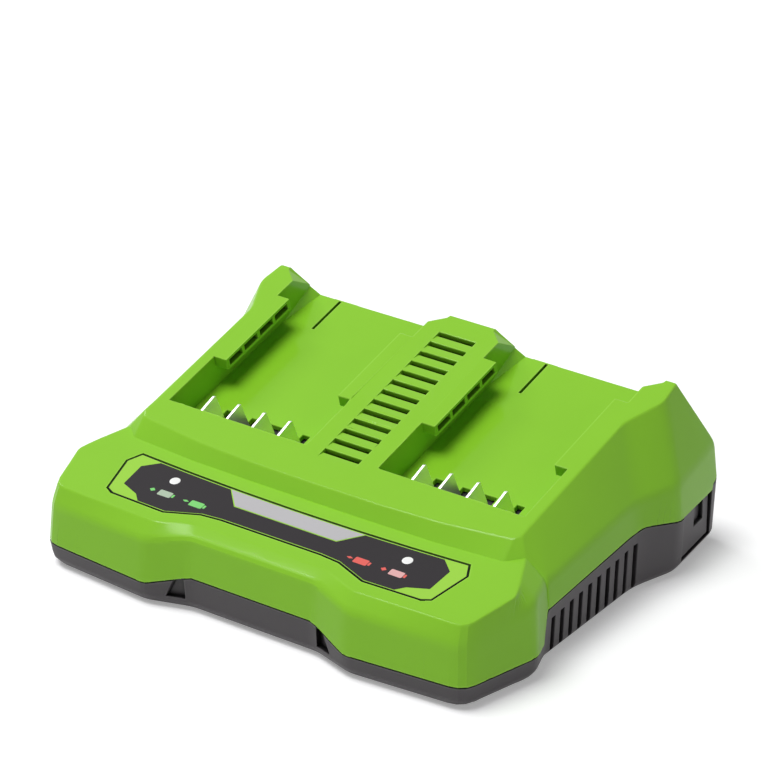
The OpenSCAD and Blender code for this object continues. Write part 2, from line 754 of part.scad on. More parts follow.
// Slots in the side walls, whose tops follow the seam
module side_vents() {
    first = y_waist + 4.4;
    rise = (seam_waist_end_h - seam_waist_h) / waist_len;
    for (i = [0:side_slots - 1]) {
        y = first + i * side_pitch;
        top = seam_waist_h + rise * (y - y_waist) - side_slot_drop;
        for (side = [-1, 1]) translate([side * waist_w / 2, y, 0])
            slab(-base_wall - 1, base_wall + 1, -side_slot_w / 2, side_slot_w / 2, side_slot_z, top);
    }
}

// Plan of a keyhole: a round entry and a neck of a given width towards the rear
module keyhole_plan(neck_w, grow = 0) {
    circle(d = keyhole_d + 2 * grow);
    translate([-neck_w / 2 - grow, 0]) square([neck_w + 2 * grow, keyhole_run + grow]);
}

module at_keyholes() {
    for (side = [-1, 1]) translate([side * keyhole_pitch / 2, y_keyhole, 0]) children();
}

// Band of space along the inside of the outline, from its surface to a depth, between two depths y
module flank_band(depth, y0, y1, z0, z1) {
    translate([0, 0, z0]) linear_extrude(z1 - z0) intersection() {
        difference() {
            outline(-margin / 2);
            outline(depth);
        }
        translate([0, y0]) square([body_w, y1 - y0]);
    }
}

// Shallow panel with a notch, a dark groove behind it and one under it in each flank behind the hips
module flank_panels() {
    panel_depth = base_draft + 0.6;
    notch_depth = 3.2;
    groove = 1.2;
    y0 = y_hip + 4;
    y1 = y_rear - 5.5;
    for (side = [0, 1]) mirror([side, 0, 0]) {
        flank_band(panel_depth, y0, y1, 3, deck_h);
        flank_band(notch_depth, y1 - 14, y1 - 6, 12.5, deck_h);
        flank_band(notch_depth, y1 - groove, y1, 3, deck_h);
        flank_band(notch_depth, y0, y1, 3, 3 + groove);
    }
}

// Tapered pockets in the slanted flanks of the nose
module nose_pockets() {
    depth = 3;
    low = seam_lobe_h - 4.6;
    for (side = [0, 1]) mirror([side, 0, 0]) intersection() {
        translate([0, 0, -1]) linear_extrude(seam_nose_h + 2) difference() {
            outline(-margin / 2);
            outline(depth);
        }
        translate([nose_in_x, y_front + nose_d + margin / 2, 0]) rotate([90, 0, 0]) linear_extrude(margin)
            polygon([[1.8, low], [9.4, low], [5.8, seam_nose_h - 2], [1.9, seam_nose_h - 1]]);
    }
}

// Solid body of the lower shell: walls that lean in towards the underside, with a rounded bottom edge
module base_body() {
    foot = inset(outline_corners, base_draft);
    loft([
        at_level(inset(foot, base_chamfer), 0),
        at_level(foot, base_chamfer * 1.3),
        at_seam(outline_corners, -seam_gap),
        at_level(outline_corners, deck_h),
    ], [0, base_chamfer * 0.6, 0, 0]);
}

module base_shell() {
    vent_slots = 7;
    vent_pitch = 8;
    vent_len = 34;
    color("dimgray") stand() difference() {
        union() {
            intersection() {
                base_body();
                below_seam(-seam_gap);
            }
            intersection() {
                translate([0, 0, base_chamfer * 2]) linear_extrude(deck_h) outline(seam_gap_d);
                below_seam();
            }
            intersection() {
                translate([0, 0, floor_t]) linear_extrude(deck_h) outline(wall + fit_gap);
                below_seam(tongue_h);
            }
        }
        difference() {
            translate([0, 0, floor_t]) linear_extrude(deck_h) outline(base_wall);
            at_places(boss_places) cylinder(d = boss_d + 1, h = boss_split);
            at_places(standoff_places) cylinder(d = standoff_d, h = board_z);
            linear_extrude(floor_t + shroud_h) at_keyholes() keyhole_plan(keyhole_d, shroud_t);
        }
        at_places(boss_places) {
            translate([0, 0, -1]) cylinder(d = screw_head_d + 2 * clear_gap, h = screw_seat_z + 1);
            cylinder(d = screw_d + 2 * clear_gap, h = boss_split + 1);
        }
        at_places(foot_places) translate([0, 0, -1]) cylinder(d = foot_d + 2 * fit_gap, h = foot_recess + 1);
        at_places(standoff_places) translate([0, 0, floor_t])
            cylinder(d = board_screw_d + 2 * pilot_gap, h = board_z);
        translate([0, 0, -1]) linear_extrude(floor_t + 2) at_keyholes() keyhole_plan(keyhole_neck);
        translate([0, 0, floor_t]) linear_extrude(shroud_h - shroud_t) at_keyholes() keyhole_plan(keyhole_d);
        side_vents();
        for (i = [0:vent_slots - 1]) translate([(i - (vent_slots - 1) / 2) * vent_pitch, y_bay, 0])
            slab(-1.2, 1.2, 0, vent_len, -1, floor_t + 1);
        flank_panels();
        nose_pockets();
        translate([gland_x, y_rear + 1, gland_z]) rotate([90, 0, 0]) {
            cylinder(d = gland_flange_d + 2 * fit_gap, h = gland_recess + 1);
            cylinder(d = gland_hole_d, h = base_wall + 2);
        }
    }
}

module status_panel() {
    color("darkslategray") stand() on_ledge() difference() {
        translate([0, 0, -panel_recess]) linear_extrude(panel_t) offset(delta = -panel_gap) panel_plan();
        at_lenses() translate([0, 0, -1]) cylinder(d = lens_d + 2 * lens_gap, h = 2);
    }
}

module led_lens(side) {
    color("white") stand() on_ledge() at_lenses([side]) {
        translate([0, 0, -wall]) cylinder(d = lens_d, h = wall);
        translate([0, 0, -wall - flange_t]) cylinder(d = flange_d, h = flange_t);
    }
}

// --- Status electronics ---------------------------------------------------------------------------

module indicator_board() {
    half = lens_pitch / 2 + 8;
    color("seagreen") stand() on_ledge() difference() {
        slab(-half, half, -48, -30.5, indicator_top - indicator_t, indicator_top);
        at_places(post_places) translate([0, 0, indicator_top - indicator_t - 1])
            cylinder(d = board_screw_d + 2 * clear_gap, h = indicator_t + 2);
    }
}

module indicator_leds() {
    size = 2.8;
    color("white") stand() on_ledge() {
        at_lenses() slab(-size / 2, size / 2, -size / 2, size / 2, indicator_top, indicator_top + led_h);
        for (p = mark_places) translate([p.x, p.y, 0])
            slab(-size / 2, size / 2, -size / 2, size / 2, indicator_top, indicator_top + led_h);
    }
}

// Pan-head screw that points up, with the underside of its head at the origin
module screw(shank_d, head_d, head_h, length) {
    rim = head_h * 0.6;
    rotate_extrude() polygon([[0, -head_h], [head_d * 0.36, -head_h], [head_d / 2, -rim], [head_d / 2, 0],
        [shank_d / 2, 0], [shank_d / 2, length - shank_d / 2], [shank_d / 4, length], [0, length]]);
}

module indicator_board_screws() {
    color("silver") stand() on_ledge() at_places(post_places)
        translate([0, 0, indicator_top - indicator_t])
            screw(board_screw_d, board_screw_head_d, board_screw_head_h, board_screw_len - 1);
}

board_top = board_z + board_t;
plug_w = 14;
plug_h = 6;
plug_d = 5;

// Flat cable from the main board's plug up to the plug under the indicator board
module ribbon_cable() {
    y_low = y_board + 6;
    y_high = y_bay - 37;
    t = 0.4;
    z_low = board_top + plug_h;
    z_high = ledge_z(y_high) + indicator_top - indicator_t - plug_h;
    middle = (z_low + z_high) / 2;
    color("lightgray") stand() {
        translate([0, y_low, board_top]) slab(-plug_w / 2, plug_w / 2, -plug_d / 2, plug_d / 2, 0, plug_h);
        on_ledge() slab(-plug_w / 2, plug_w / 2, -39.8, -34.8, indicator_top - indicator_t - 5,
            indicator_top - indicator_t);
        rotate([90, 0, 90]) linear_extrude(plug_w - 2, center = true)
            polygon([[y_low - t, z_low - 1], [y_low + t, z_low - 1], [y_low + t, middle],
                [y_high + t, middle + 2], [y_high + t, z_high + 4], [y_high - t, z_high + 4],
                [y_high - t, middle + 1], [y_low - t, middle - 1]]);
    }
}

// --- Battery contacts -----------------------------------------------------------------------------

block_gap = 0.3;
block_from = 1.2;
block_to = 21;

// Outline of the exposed blade in the deck frame, ending inside the block
module blade_plan() {
    low = -bay_depth - bay_floor_t - 8;
    front = slot_front + 0.4;
    peak = blade_rise - blade_drop;
    polygon([[front, -blade_drop], [front + blade_top - 0.5, peak], [front + blade_top + 0.5, peak - 0.5],
        [front + blade_foot, -bay_depth], [front + blade_foot, low], [front, low]]);
}

// One blade with its solder tail through the main board
module blade() {
    tail = [7, 13];
    rotate([90, 0, 90]) translate([0, 0, -blade_t / 2]) linear_extrude(blade_t) union() {
        translate([y_bay, deck_h]) rotate(deck_tilt) blade_plan();
        translate([y_bay + tail[0], board_z - 1]) square([tail[1] - tail[0], deck_h - 22 - board_z]);
    }
}

module blades(side) {
    color("gainsboro") stand() translate([side * bay_pitch / 2, 0, 0])
        for (i = [0:blade_count - 1]) translate([blade_x(i), 0, 0]) blade();
}

// Block that stands on the main board and holds the blades, its top parallel to the bay's floor
module terminal_block(side) {
    half = (blade_count - 1) / 2 * blade_pitch + 4.6;
    color("black") stand() difference() {
        translate([side * bay_pitch / 2, 0, 0]) intersection() {
            slab(-half, half, y_bay + block_from, y_bay + block_to, board_top, deck_h);
            on_deck() slab(-half - 1, half + 1, -margin, margin * 3, -margin * 3,
                -bay_depth - bay_floor_t - block_gap);
        }
        translate([side * bay_pitch / 2, 0, 0])
            for (i = [0:blade_count - 1]) translate([blade_x(i), 0, 0]) blade();
    }
}

// --- Main board and its components ----------------------------------------------------------------

module main_board() {
    color("seagreen") stand() difference() {
        slab(-board_w / 2, board_w / 2, y_board, y_board + board_d, board_z, board_top);
        at_places(standoff_places) translate([0, 0, board_z - 1])
            cylinder(d = board_screw_d + 2 * clear_gap, h = board_t + 2);
        for (side = [-1, 1]) translate([side * bay_pitch / 2, 0, 0])
            for (i = [0:blade_count - 1]) translate([blade_x(i), 0, 0]) blade();
    }
}

module board_screws() {
    color("silver") stand() at_places(standoff_places) translate([0, 0, board_top]) mirror([0, 0, 1])
        screw(board_screw_d, board_screw_head_d, board_screw_head_h, board_screw_len);
}

// Stands a component on the main board at x from its middle and y behind the bays' front wall
module on_board(x, y) {
    stand() translate([x, y_bay + y, board_top]) children();
}
// Box of a given size with the middle of its underside at the origin
module block_on_board(size) {
    translate([0, 0, size.z / 2]) cube(size, center = true);
}
// Depth behind the bays' front wall at a share of the way from the contact blocks to the board's rear edge
blocks_run = block_to + 0.5;
rear_run = y_board + board_d - y_bay - blocks_run;
function behind(share) = blocks_run + share * rear_run;

// Transformer: an E-E core round a bobbin with two flanges
core = [36, 16, 28];
core_leg = 9;
core_web = 5.5;
bobbin_wall = 1;
bobbin_d = 24;
transformer_at = [0, behind(0.4)];

module transformer_core() {
    window_w = (core.x - core_leg) / 2 - core_web;
    color("dimgray") on_board(transformer_at.x, transformer_at.y) difference() {
        slab(-core.x / 2, core.x / 2, -core.y / 2, core.y / 2, 1, 1 + core.z);
        for (side = [0, 1]) mirror([side, 0, 0])
            slab(core_leg / 2, core_leg / 2 + window_w, -core.y, core.y, 1 + core_web, 1 + core.z - core_web);
    }
}

module transformer_bobbin() {
    leg = [core_leg / 2 + fit_gap, core.y / 2 + fit_gap];
    outer = core_leg / 2 + (core.x - core_leg) / 2 - core_web - fit_gap;
    low = 1 + core_web;
    high = 1 + core.z - core_web;
    color("black") on_board(transformer_at.x, transformer_at.y) {
        difference() {
            union() {
                slab(-outer, outer, -bobbin_d / 2, bobbin_d / 2, low, low + bobbin_wall);
                slab(-outer, outer, -bobbin_d / 2, bobbin_d / 2, high - bobbin_wall, high);
                slab(-leg.x - bobbin_wall, leg.x + bobbin_wall, -leg.y - bobbin_wall, leg.y + bobbin_wall,
                    low, high);
            }
            slab(-leg.x, leg.x, -leg.y, leg.y, 0, core.z + 2);
        }
        for (side = [0, 1]) mirror([0, side, 0])
            slab(-outer, outer, bobbin_d / 2 - 3, bobbin_d / 2, 0, low);
    }
}

module transformer_winding() {
    leg = [core_leg / 2 + fit_gap + bobbin_wall, core.y / 2 + fit_gap + bobbin_wall];
    outer = core_leg / 2 + (core.x - core_leg) / 2 - core_web - 2 * fit_gap;
    low = 1 + core_web + bobbin_wall;
    high = 1 + core.z - core_web - bobbin_wall;
    color("goldenrod") on_board(transformer_at.x, transformer_at.y) difference() {
        slab(-outer, outer, -bobbin_d / 2 + 1, bobbin_d / 2 - 1, low, high);
        slab(-leg.x, leg.x, -leg.y, leg.y, 0, core.z + 2);
    }
}

// Ring core with a wound sector on each side
module ring_core(r, section) {
    rotate_extrude() translate([r - section.x / 2, 0.9]) square(section);
}

module ring_winding(r, section) {
    cover = 0.9;
    difference() {
        rotate_extrude() difference() {
            translate([r - section.x / 2 - cover, 0]) square([section.x + 2 * cover, section.y + 2 * cover]);
            translate([r - section.x / 2, cover]) square(section);
        }
        slab(-3, 3, -2 * r, 2 * r, -1, section.y + 3);
    }
}

filter_ring = [6, 8];
filter_ring_r = 9;
filter_choke_at = [-48, behind(0.56)];
output_ring = [7, 9];
output_ring_r = 10;
output_choke_at = [50, behind(0.35)];

module filter_choke_core() {
    color("dimgray") on_board(filter_choke_at.x, filter_choke_at.y) ring_core(filter_ring_r, filter_ring);
}

module filter_choke_winding() {
    color("sandybrown") on_board(filter_choke_at.x, filter_choke_at.y)
        ring_winding(filter_ring_r, filter_ring);
}

module output_choke_core() {
    color("gold") on_board(output_choke_at.x, output_choke_at.y) ring_core(output_ring_r, output_ring);
}

module output_choke_winding() {
    color("sandybrown") on_board(output_choke_at.x, output_choke_at.y)
        ring_winding(output_ring_r, output_ring);
}

// Upright electrolytic capacitor with a rolled groove above its base
module can(d, h) {
    rotate_extrude() polygon([[0, 0], [d / 2, 0], [d / 2, 1.5], [d / 2 - 0.6, 2.2], [d / 2, 2.9],
        [d / 2, h - 0.8], [d / 2 - 0.8, h], [0, h]]);
}

bulk_can = [20, 22];
output_can = [10, 20];
filter_box = [10, 18, 15];
bridge_box = [4.4, 20, 15];
varistor_d = 13;
varistor_t = 4.4;

module bulk_capacitor() {
    color("midnightblue") on_board(-46, behind(0.17)) can(bulk_can.x, bulk_can.y);
}

module output_capacitors() {
    color("midnightblue") for (x = [36, 50, 64, 78])
        on_board(x, behind(0.72)) can(output_can.x, output_can.y);
}

module filter_capacitor() {
    color("khaki") on_board(-74, behind(0.54)) block_on_board(filter_box);
}

module bridge_rectifier() {
    color("black") on_board(-76, behind(0.2)) block_on_board(bridge_box);
}

module varistor() {
    color("royalblue") on_board(-22, behind(0.83)) translate([0, 0, varistor_d / 2]) rotate([90, 0, 0])
        cylinder(d = varistor_d, h = varistor_t, center = true);
}

fuse_at = [-40, behind(0.83)];
fuse_d = 5;
fuse_len = 20;
fuse_z = 4.6;

module mains_fuse() {
    color("white") on_board(fuse_at.x, fuse_at.y) translate([-fuse_len / 2, 0, fuse_z]) rotate([0, 90, 0])
        cylinder(d = fuse_d, h = fuse_len);
}

module fuse_clips() {
    clip_w = 5;
    color("silver") on_board(fuse_at.x, fuse_at.y) for (side = [-1, 1])
        translate([side * (fuse_len - clip_w) / 2, 0, 0]) difference() {
            slab(-clip_w / 2, clip_w / 2, -fuse_d / 2 - 0.6, fuse_d / 2 + 0.6, 0, fuse_z + 1.2);
            translate([-clip_w, 0, fuse_z]) rotate([0, 90, 0]) cylinder(d = fuse_d, h = 2 * clip_w);
            slab(-clip_w, clip_w, -fuse_d / 2 + 0.7, fuse_d / 2 - 0.7, fuse_z, fuse_z + 4);
        }
}

// Finned heat sink that stands between the contact blocks, with the power transistors on its back
sink = [40, 18, 20];
sink_plate = 3;
sink_fins = 8;
sink_at = [0, 6];
transistor_box = [10, 4.5, 17];
relay_box = [20, 16, 15];
chip_box = [12, 12, 1.4];
front_row_y = -18;

module heatsink() {
    fin_t = 1.4;
    color("lightsteelblue") on_board(sink_at.x, sink_at.y) {
        slab(-sink.x / 2, sink.x / 2, sink.y / 2 - sink_plate, sink.y / 2, 0, sink.z);
        for (i = [0:sink_fins - 1])
            translate([-sink.x / 2 + i * (sink.x - fin_t) / (sink_fins - 1), -sink.y / 2, 0])
                cube([fin_t, sink.y - sink_plate + eps, sink.z]);
    }
}

module power_transistors() {
    color("black") for (x = [-12, 12]) on_board(sink_at.x + x, sink_at.y + sink.y / 2)
        translate([0, transistor_box.y / 2, 0]) block_on_board(transistor_box);
}

module charge_relays() {
    color("orangered") for (side = [-1, 1])
        on_board(side * bay_pitch / 2, front_row_y) block_on_board(relay_box);
}

module control_chip() {
    color("black") on_board(0, front_row_y) block_on_board(chip_box);
}

terminal_box = [16, 12, 11];

module mains_terminal() {
    color("darkgreen") on_board(gland_x - 4, behind(0.83)) difference() {
        block_on_board(terminal_box);
        for (x = [-4, 4]) translate([x, 0, 4]) rotate([-90, 0, 0]) cylinder(d = 4, h = 7);
        for (x = [-4, 4]) translate([x, -1, 8]) cylinder(d = 4.4, h = 4);
    }
}

// --- Gland, screws and feet -----------------------------------------------------------------------

module cord_gland() {
    neck = base_wall - gland_recess;
    total = gland_flange_t + neck + gland_collar_t;
    r = cord_d / 2;
    color("black") stand() translate([gland_x, y_rear - gland_recess + gland_flange_t, gland_z])
        rotate([90, 0, 0]) rotate_extrude()
            polygon([[r, 0], [gland_flange_d / 2 - 0.6, 0], [gland_flange_d / 2, 0.6],
                [gland_flange_d / 2, gland_flange_t], [gland_hole_d / 2, gland_flange_t],
                [gland_hole_d / 2, gland_flange_t + neck], [gland_hole_d / 2 + 1.4, gland_flange_t + neck],
                [gland_hole_d / 2, total], [r, total]]);
}

module case_screws() {
    color("silver") stand() at_places(boss_places) translate([0, 0, screw_seat_z])
        screw(screw_d, screw_head_d, screw_head_h, screw_len);
}

module rubber_feet() {
    height = foot_proud + foot_recess;
    color("black") at_places(foot_places) rotate_extrude()
        polygon([[0, 0], [foot_d / 2 - 0.8, 0], [foot_d / 2, 0.8], [foot_d / 2, height], [0, height]]);
}

top_shell();
base_shell();
status_panel();
led_lens(-1);  // led_lens_left
led_lens(1);  // led_lens_right
indicator_board();
indicator_leds();
indicator_board_screws();
ribbon_cable();
terminal_block(-1);  // terminal_block_left
terminal_block(1);  // terminal_block_right
blades(-1);  // contact_blades_left
blades(1);  // contact_blades_right
main_board();
board_screws();
transformer_core();
transformer_bobbin();
transformer_winding();
filter_choke_core();
filter_choke_winding();
output_choke_core();
output_choke_winding();
bulk_capacitor();
output_capacitors();
filter_capacitor();
bridge_rectifier();
varistor();
mains_fuse();
fuse_clips();
heatsink();
power_transistors();
charge_relays();
control_chip();
mains_terminal();
cord_gland();
case_screws();
rubber_feet();
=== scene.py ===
"""Looks of a twin-bay charger for slide-on tool batteries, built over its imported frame.

Every length is in metres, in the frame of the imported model: X across the width, Y from the status
panel to the rear, Z up from the surface that the feet stand on.
"""

import logging
import math
from dataclasses import dataclass
from enum import Enum
from typing import Dict, List, Optional, Sequence, Tuple, Union

import bmesh
import bpy
from mathutils import Matrix, Vector
from mathutils.kdtree import KDTree


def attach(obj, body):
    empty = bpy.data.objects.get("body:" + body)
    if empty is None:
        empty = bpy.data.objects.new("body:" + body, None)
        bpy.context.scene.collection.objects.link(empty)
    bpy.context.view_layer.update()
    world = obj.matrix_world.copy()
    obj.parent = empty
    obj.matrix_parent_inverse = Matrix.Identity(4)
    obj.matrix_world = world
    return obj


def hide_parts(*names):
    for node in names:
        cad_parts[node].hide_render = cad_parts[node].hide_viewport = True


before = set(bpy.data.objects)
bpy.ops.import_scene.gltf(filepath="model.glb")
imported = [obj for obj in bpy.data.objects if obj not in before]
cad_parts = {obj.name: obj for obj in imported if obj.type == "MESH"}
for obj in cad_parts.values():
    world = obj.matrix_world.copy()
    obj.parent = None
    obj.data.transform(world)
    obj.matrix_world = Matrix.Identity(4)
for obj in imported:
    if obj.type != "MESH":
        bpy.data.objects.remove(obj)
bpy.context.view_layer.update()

MM = 0.001
SIDES = ("left", "right")
WHITE = (1.0, 1.0, 1.0, 1.0)
Colour = Tuple[float, float, float]
Point = Tuple[float, float]
Place = Tuple[float, float, float]
log = logging.getLogger("charger")


# --- Shader maths ---------------------------------------------------------------------------------


class Wave:
    """A shader value that joins into arithmetic, one Math node for each operation."""

    def __init__(self, tree: bpy.types.NodeTree, socket: bpy.types.NodeSocket) -> None:
        """Wraps an output socket of a node tree."""
        self.tree = tree
        self.socket = socket

    def _join(self, operation: str, left: Union["Wave", float], right: Union["Wave", float]) -> "Wave":
        """Adds one Math node.

        Args:
            operation: the Math node's operation.
            left: the first operand.
            right: the second operand.

        Returns:
            The node's result.
        """
        node = self.tree.nodes.new("ShaderNodeMath")
        node.operation = operation
        for socket, value in zip(node.inputs, (left, right)):
            if isinstance(value, Wave):
                self.tree.links.new(value.socket, socket)
            else:
                socket.default_value = value
        return Wave(self.tree, node.outputs[0])

    def __add__(self, other: Union["Wave", float]) -> "Wave":
        """Sum."""
        return self._join("ADD", self, other)

    def __radd__(self, other: float) -> "Wave":
        """Sum with a plain number on the left."""
        return self._join("ADD", other, self)

    def __sub__(self, other: Union["Wave", float]) -> "Wave":
        """Difference."""
        return self._join("SUBTRACT", self, other)

    def __rsub__(self, other: float) -> "Wave":
        """Difference with a plain number on the left."""
        return self._join("SUBTRACT", other, self)

    def __mul__(self, other: Union["Wave", float]) -> "Wave":
        """Product."""
        return self._join("MULTIPLY", self, other)

    def __rmul__(self, other: float) -> "Wave":
        """Product with a plain number on the left."""
        return self._join("MULTIPLY", other, self)

    def above(self, level: float) -> "Wave":
        """One where the value is over the level, else zero."""
        return self._join("GREATER_THAN", self, level)

    def capped(self) -> "Wave":
        """The value, or one where it is more."""
        return self._join("MINIMUM", self, 1.0)


class Nodes:
    """A node tree whose nodes are made by one method."""

    def __init__(self, tree: bpy.types.NodeTree) -> None:
        """Wraps a node tree."""
        self.tree = tree

    def node(self, kind: str, settings: Optional[Dict[str, object]] = None,
             sockets: Optional[Dict[Union[str, int], object]] = None) -> bpy.types.Node:
        """Adds a node of any kind.

        Args:
            kind: the node's type.
            settings: attributes that are set first.
            sockets: values, or Waves and sockets to link, by the input's name or number.

        Returns:
            The new node.
        """
        node = self.tree.nodes.new(kind)
        for key, value in (settings or {}).items():
            setattr(node, key, value)
        for key, value in (sockets or {}).items():
            self.feed(node.inputs[key], value)
        return node

    def feed(self, socket: bpy.types.NodeSocket, value: object) -> None:
        """Gives a socket a value, or links it.

        Args:
            socket: the input to feed.
            value: a plain value, or a Wave or an output socket to link.
        """
        if isinstance(value, Wave):
            self.tree.links.new(value.socket, socket)
        elif isinstance(value, bpy.types.NodeSocket):
            self.tree.links.new(value, socket)
        else:
            socket.default_value = value

    def seen_directly(self) -> Wave:
        """Tells the rays that show what they hit from those that only carry its light on.

        Returns:
            One for camera, glossy and transmission rays, else zero.
        """
        rays = self.node("ShaderNodeLightPath")
        camera, glossy, through = (Wave(self.tree, rays.outputs[f"Is {kind} Ray"])
                                   for kind in ("Camera", "Glossy", "Transmission"))
        return (camera + glossy + through).above(0.5)


class Shader(Nodes):
    """A material under construction."""

    def __init__(self, name: str) -> None:
        """Starts a material that has a Principled shader.

        Args:
            name: the material's name.
        """
        self.material = bpy.data.materials.new(name)
        self.material.use_nodes = True
        super().__init__(self.material.node_tree)
        self.principled = self.tree.nodes["Principled BSDF"]

    def set(self, **values: object) -> None:
        """Feeds the Principled shader's inputs; underscores in the names stand for spaces."""
        for key, value in values.items():
            self.feed(self.principled.inputs[key.replace("_", " ")], value)

    def place(self) -> bpy.types.NodeSocket:
        """Object coordinates, which stay fixed to the piece."""
        return self.node("ShaderNodeTexCoord").outputs["Object"]

    def noise(self, size: float, detail: float = 2.0, stretch: Optional[Sequence[float]] = None) -> Wave:
        """Cloudy noise.

        Args:
            size: the size of its cells in metres.
            detail: how many finer layers it has.
            stretch: how many times longer the cells are along each axis.

        Returns:
            A value between zero and one.
        """
        place = self.place()
        if stretch:
            scale = tuple(1.0 / part for part in stretch)
            place = self.node("ShaderNodeMapping", None, {"Vector": place, "Scale": scale}).outputs[0]
        node = self.node("ShaderNodeTexNoise", None,
                         {"Vector": place, "Scale": 1.0 / size, "Detail": detail})
        return Wave(self.tree, node.outputs[0])

    def blend(self, share: Wave, first: Union[Colour, bpy.types.NodeSocket],
              second: Union[Colour, bpy.types.NodeSocket]) -> bpy.types.NodeSocket:
        """Mixes two colours.

        Args:
            share: how much of the second colour shows, between zero and one.
            first: a colour, written out or linked.
            second: the other colour.

        Returns:
            The mixed colour.
        """
        node = self.node("ShaderNodeMix", {"data_type": "RGBA"})
        factor, inputs, output = 0, (6, 7), 2  # a Mix node's sockets for colours, by number
        self.feed(node.inputs[factor], share)
        for number, colour in zip(inputs, (first, second)):
            self.feed(node.inputs[number], (*colour, 1.0) if isinstance(colour, tuple) else colour)
        return node.outputs[output]

    def nearness(self, reach: float, inside: bool) -> Wave:
        """How closed in the surface is, from zero in the open to one.

        Args:
            reach: how far away the neighbouring faces may be.
            inside: looks into the material, which finds the outer edges, instead of out of it.

        Returns:
            A value between zero and one.
        """
        node = self.node("ShaderNodeAmbientOcclusion",
                         {"inside": inside, "only_local": True, "samples": 8}, {"Distance": reach})
        return 1.0 - Wave(self.tree, node.outputs["AO"])

    def bump(self, height: Wave, depth: float, strength: float) -> None:
        """Roughens the surface.

        Args:
            height: how high the surface stands, between zero and one.
            depth: what the full height measures in metres.
            strength: how much of the effect shows.
        """
        node = self.node("ShaderNodeBump", None,
                         {"Height": height, "Distance": depth, "Strength": strength})
        self.set(Normal=node.outputs[0])


def linear(red: int, green: int, blue: int) -> Colour:
    """Turns a display colour into the linear colour that shaders use.

    Args:
        red: the red part, 0 to 255.
        green: the green part, likewise.
        blue: the blue part, likewise.

    Returns:
        The linear colour.
    """
    def part(value: int) -> float:
        """Undoes the display curve of one part."""
        share = value / 255.0
        return share / 12.92 if share <= 0.04045 else ((share + 0.055) / 1.055) ** 2.4
    return part(red), part(green), part(blue)


def darker(colour: Colour, share: float) -> Colour:
    """The same hue at a share of its strength."""
    return colour[0] * share, colour[1] * share, colour[2] * share


# --- Finishes -------------------------------------------------------------------------------------


@dataclass(frozen=True)
class Moulding:
    """Spark-eroded moulded plastic with a faint cloudiness and a fine grain.

    Its outer edges may carry a painted highlight and its corners and slots a painted shade.
    The painted highlight comes in patches, by a noise that swings over a least strength.
    """

    name: str
    colour: Colour
    roughness: float = 0.42
    grain: float = 0.35 * MM
    depth: float = 0.01 * MM
    drift: float = 0.94
    specular: float = 0.5
    gloss: float = 0.0
    edge_highlight: Optional[Colour] = None
    corner_shade: Optional[Colour] = None
    corner_shade_reach: float = 9.0 * MM
    corner_shade_share: float = 1.8
    highlight_width: float = 0.8 * MM
    highlight_share: float = 0.5
    highlight_patch: float = 6.0 * MM
    highlight_least: float = 0.75
    highlight_swing: float = 0.9
    cloud: float = 30.0 * MM
    roughness_swing: float = 0.1
    gloss_roughness: float = 0.14
    grain_strength: float = 0.6

    def build(self) -> bpy.types.Material:
        """Makes the material.

        Returns:
            The material.
        """
        shader = Shader(self.name)
        cloudy = shader.noise(self.cloud, detail=3.0)
        speck = shader.noise(self.grain)
        colour = shader.blend(cloudy, darker(self.colour, self.drift), self.colour)
        # Painted highlight: a pale colour laid along the outer edges, in patches, stands for light
        # caught by the edges.
        if self.edge_highlight:
            patchy = shader.noise(self.highlight_patch, detail=3.0) * self.highlight_swing + self.highlight_least
            edge_lit = (shader.nearness(self.highlight_width, True) * patchy * self.highlight_share).capped()
            colour = shader.blend(edge_lit, colour, self.edge_highlight)
        # Painted shade: corners, slots and hollows are darkened by colour where shade falls.
        if self.corner_shade:
            deep = shader.nearness(self.corner_shade_reach, False)
            colour = shader.blend((deep * deep * deep * self.corner_shade_share).capped(), colour, self.corner_shade)
        shader.set(Base_Color=colour, Roughness=(speck - 0.5) * self.roughness_swing + self.roughness,
                   Specular_IOR_Level=self.specular, Coat_Weight=self.gloss,
                   Coat_Roughness=self.gloss_roughness)
        shader.bump(speck, self.depth, self.grain_strength)
        return shader.material


@dataclass(frozen=True)
class BrushedMetal:
    """Bright metal with fine lines along one direction."""

    name: str
    colour: Colour
    roughness: float = 0.28
    grain: float = 0.3 * MM
    stretch: Place = (1.0, 30.0, 1.0)
    drift: float = 0.86
    roughness_swing: float = 0.18
    depth: float = 0.02 * MM
    line_strength: float = 0.4

    def build(self) -> bpy.types.Material:
        """Makes the material.

        Returns:
            The material.
        """
        shader = Shader(self.name)
        lines = shader.noise(self.grain, detail=3.0, stretch=self.stretch)
        shader.set(Base_Color=shader.blend(lines, darker(self.colour, self.drift), self.colour),
                   Roughness=lines * self.roughness_swing + self.roughness, Metallic=1.0)
        shader.bump(lines, self.depth, self.line_strength)
        return shader.material


def printed(name: str, colour: Colour, roughness: float = 0.35, drift: float = 0.95,
            specular: float = 0.5) -> Moulding:
    """A smooth printed ink or a smooth clear casing."""
    return Moulding(name, colour, roughness, 0.6 * MM, 0.004 * MM, drift, specular)


def small_casing(name: str, colour: Colour, roughness: float) -> Moulding:
    """The moulded casing of a small component."""
    return Moulding(name, colour, roughness, 0.6 * MM, 0.01 * MM, 0.92)


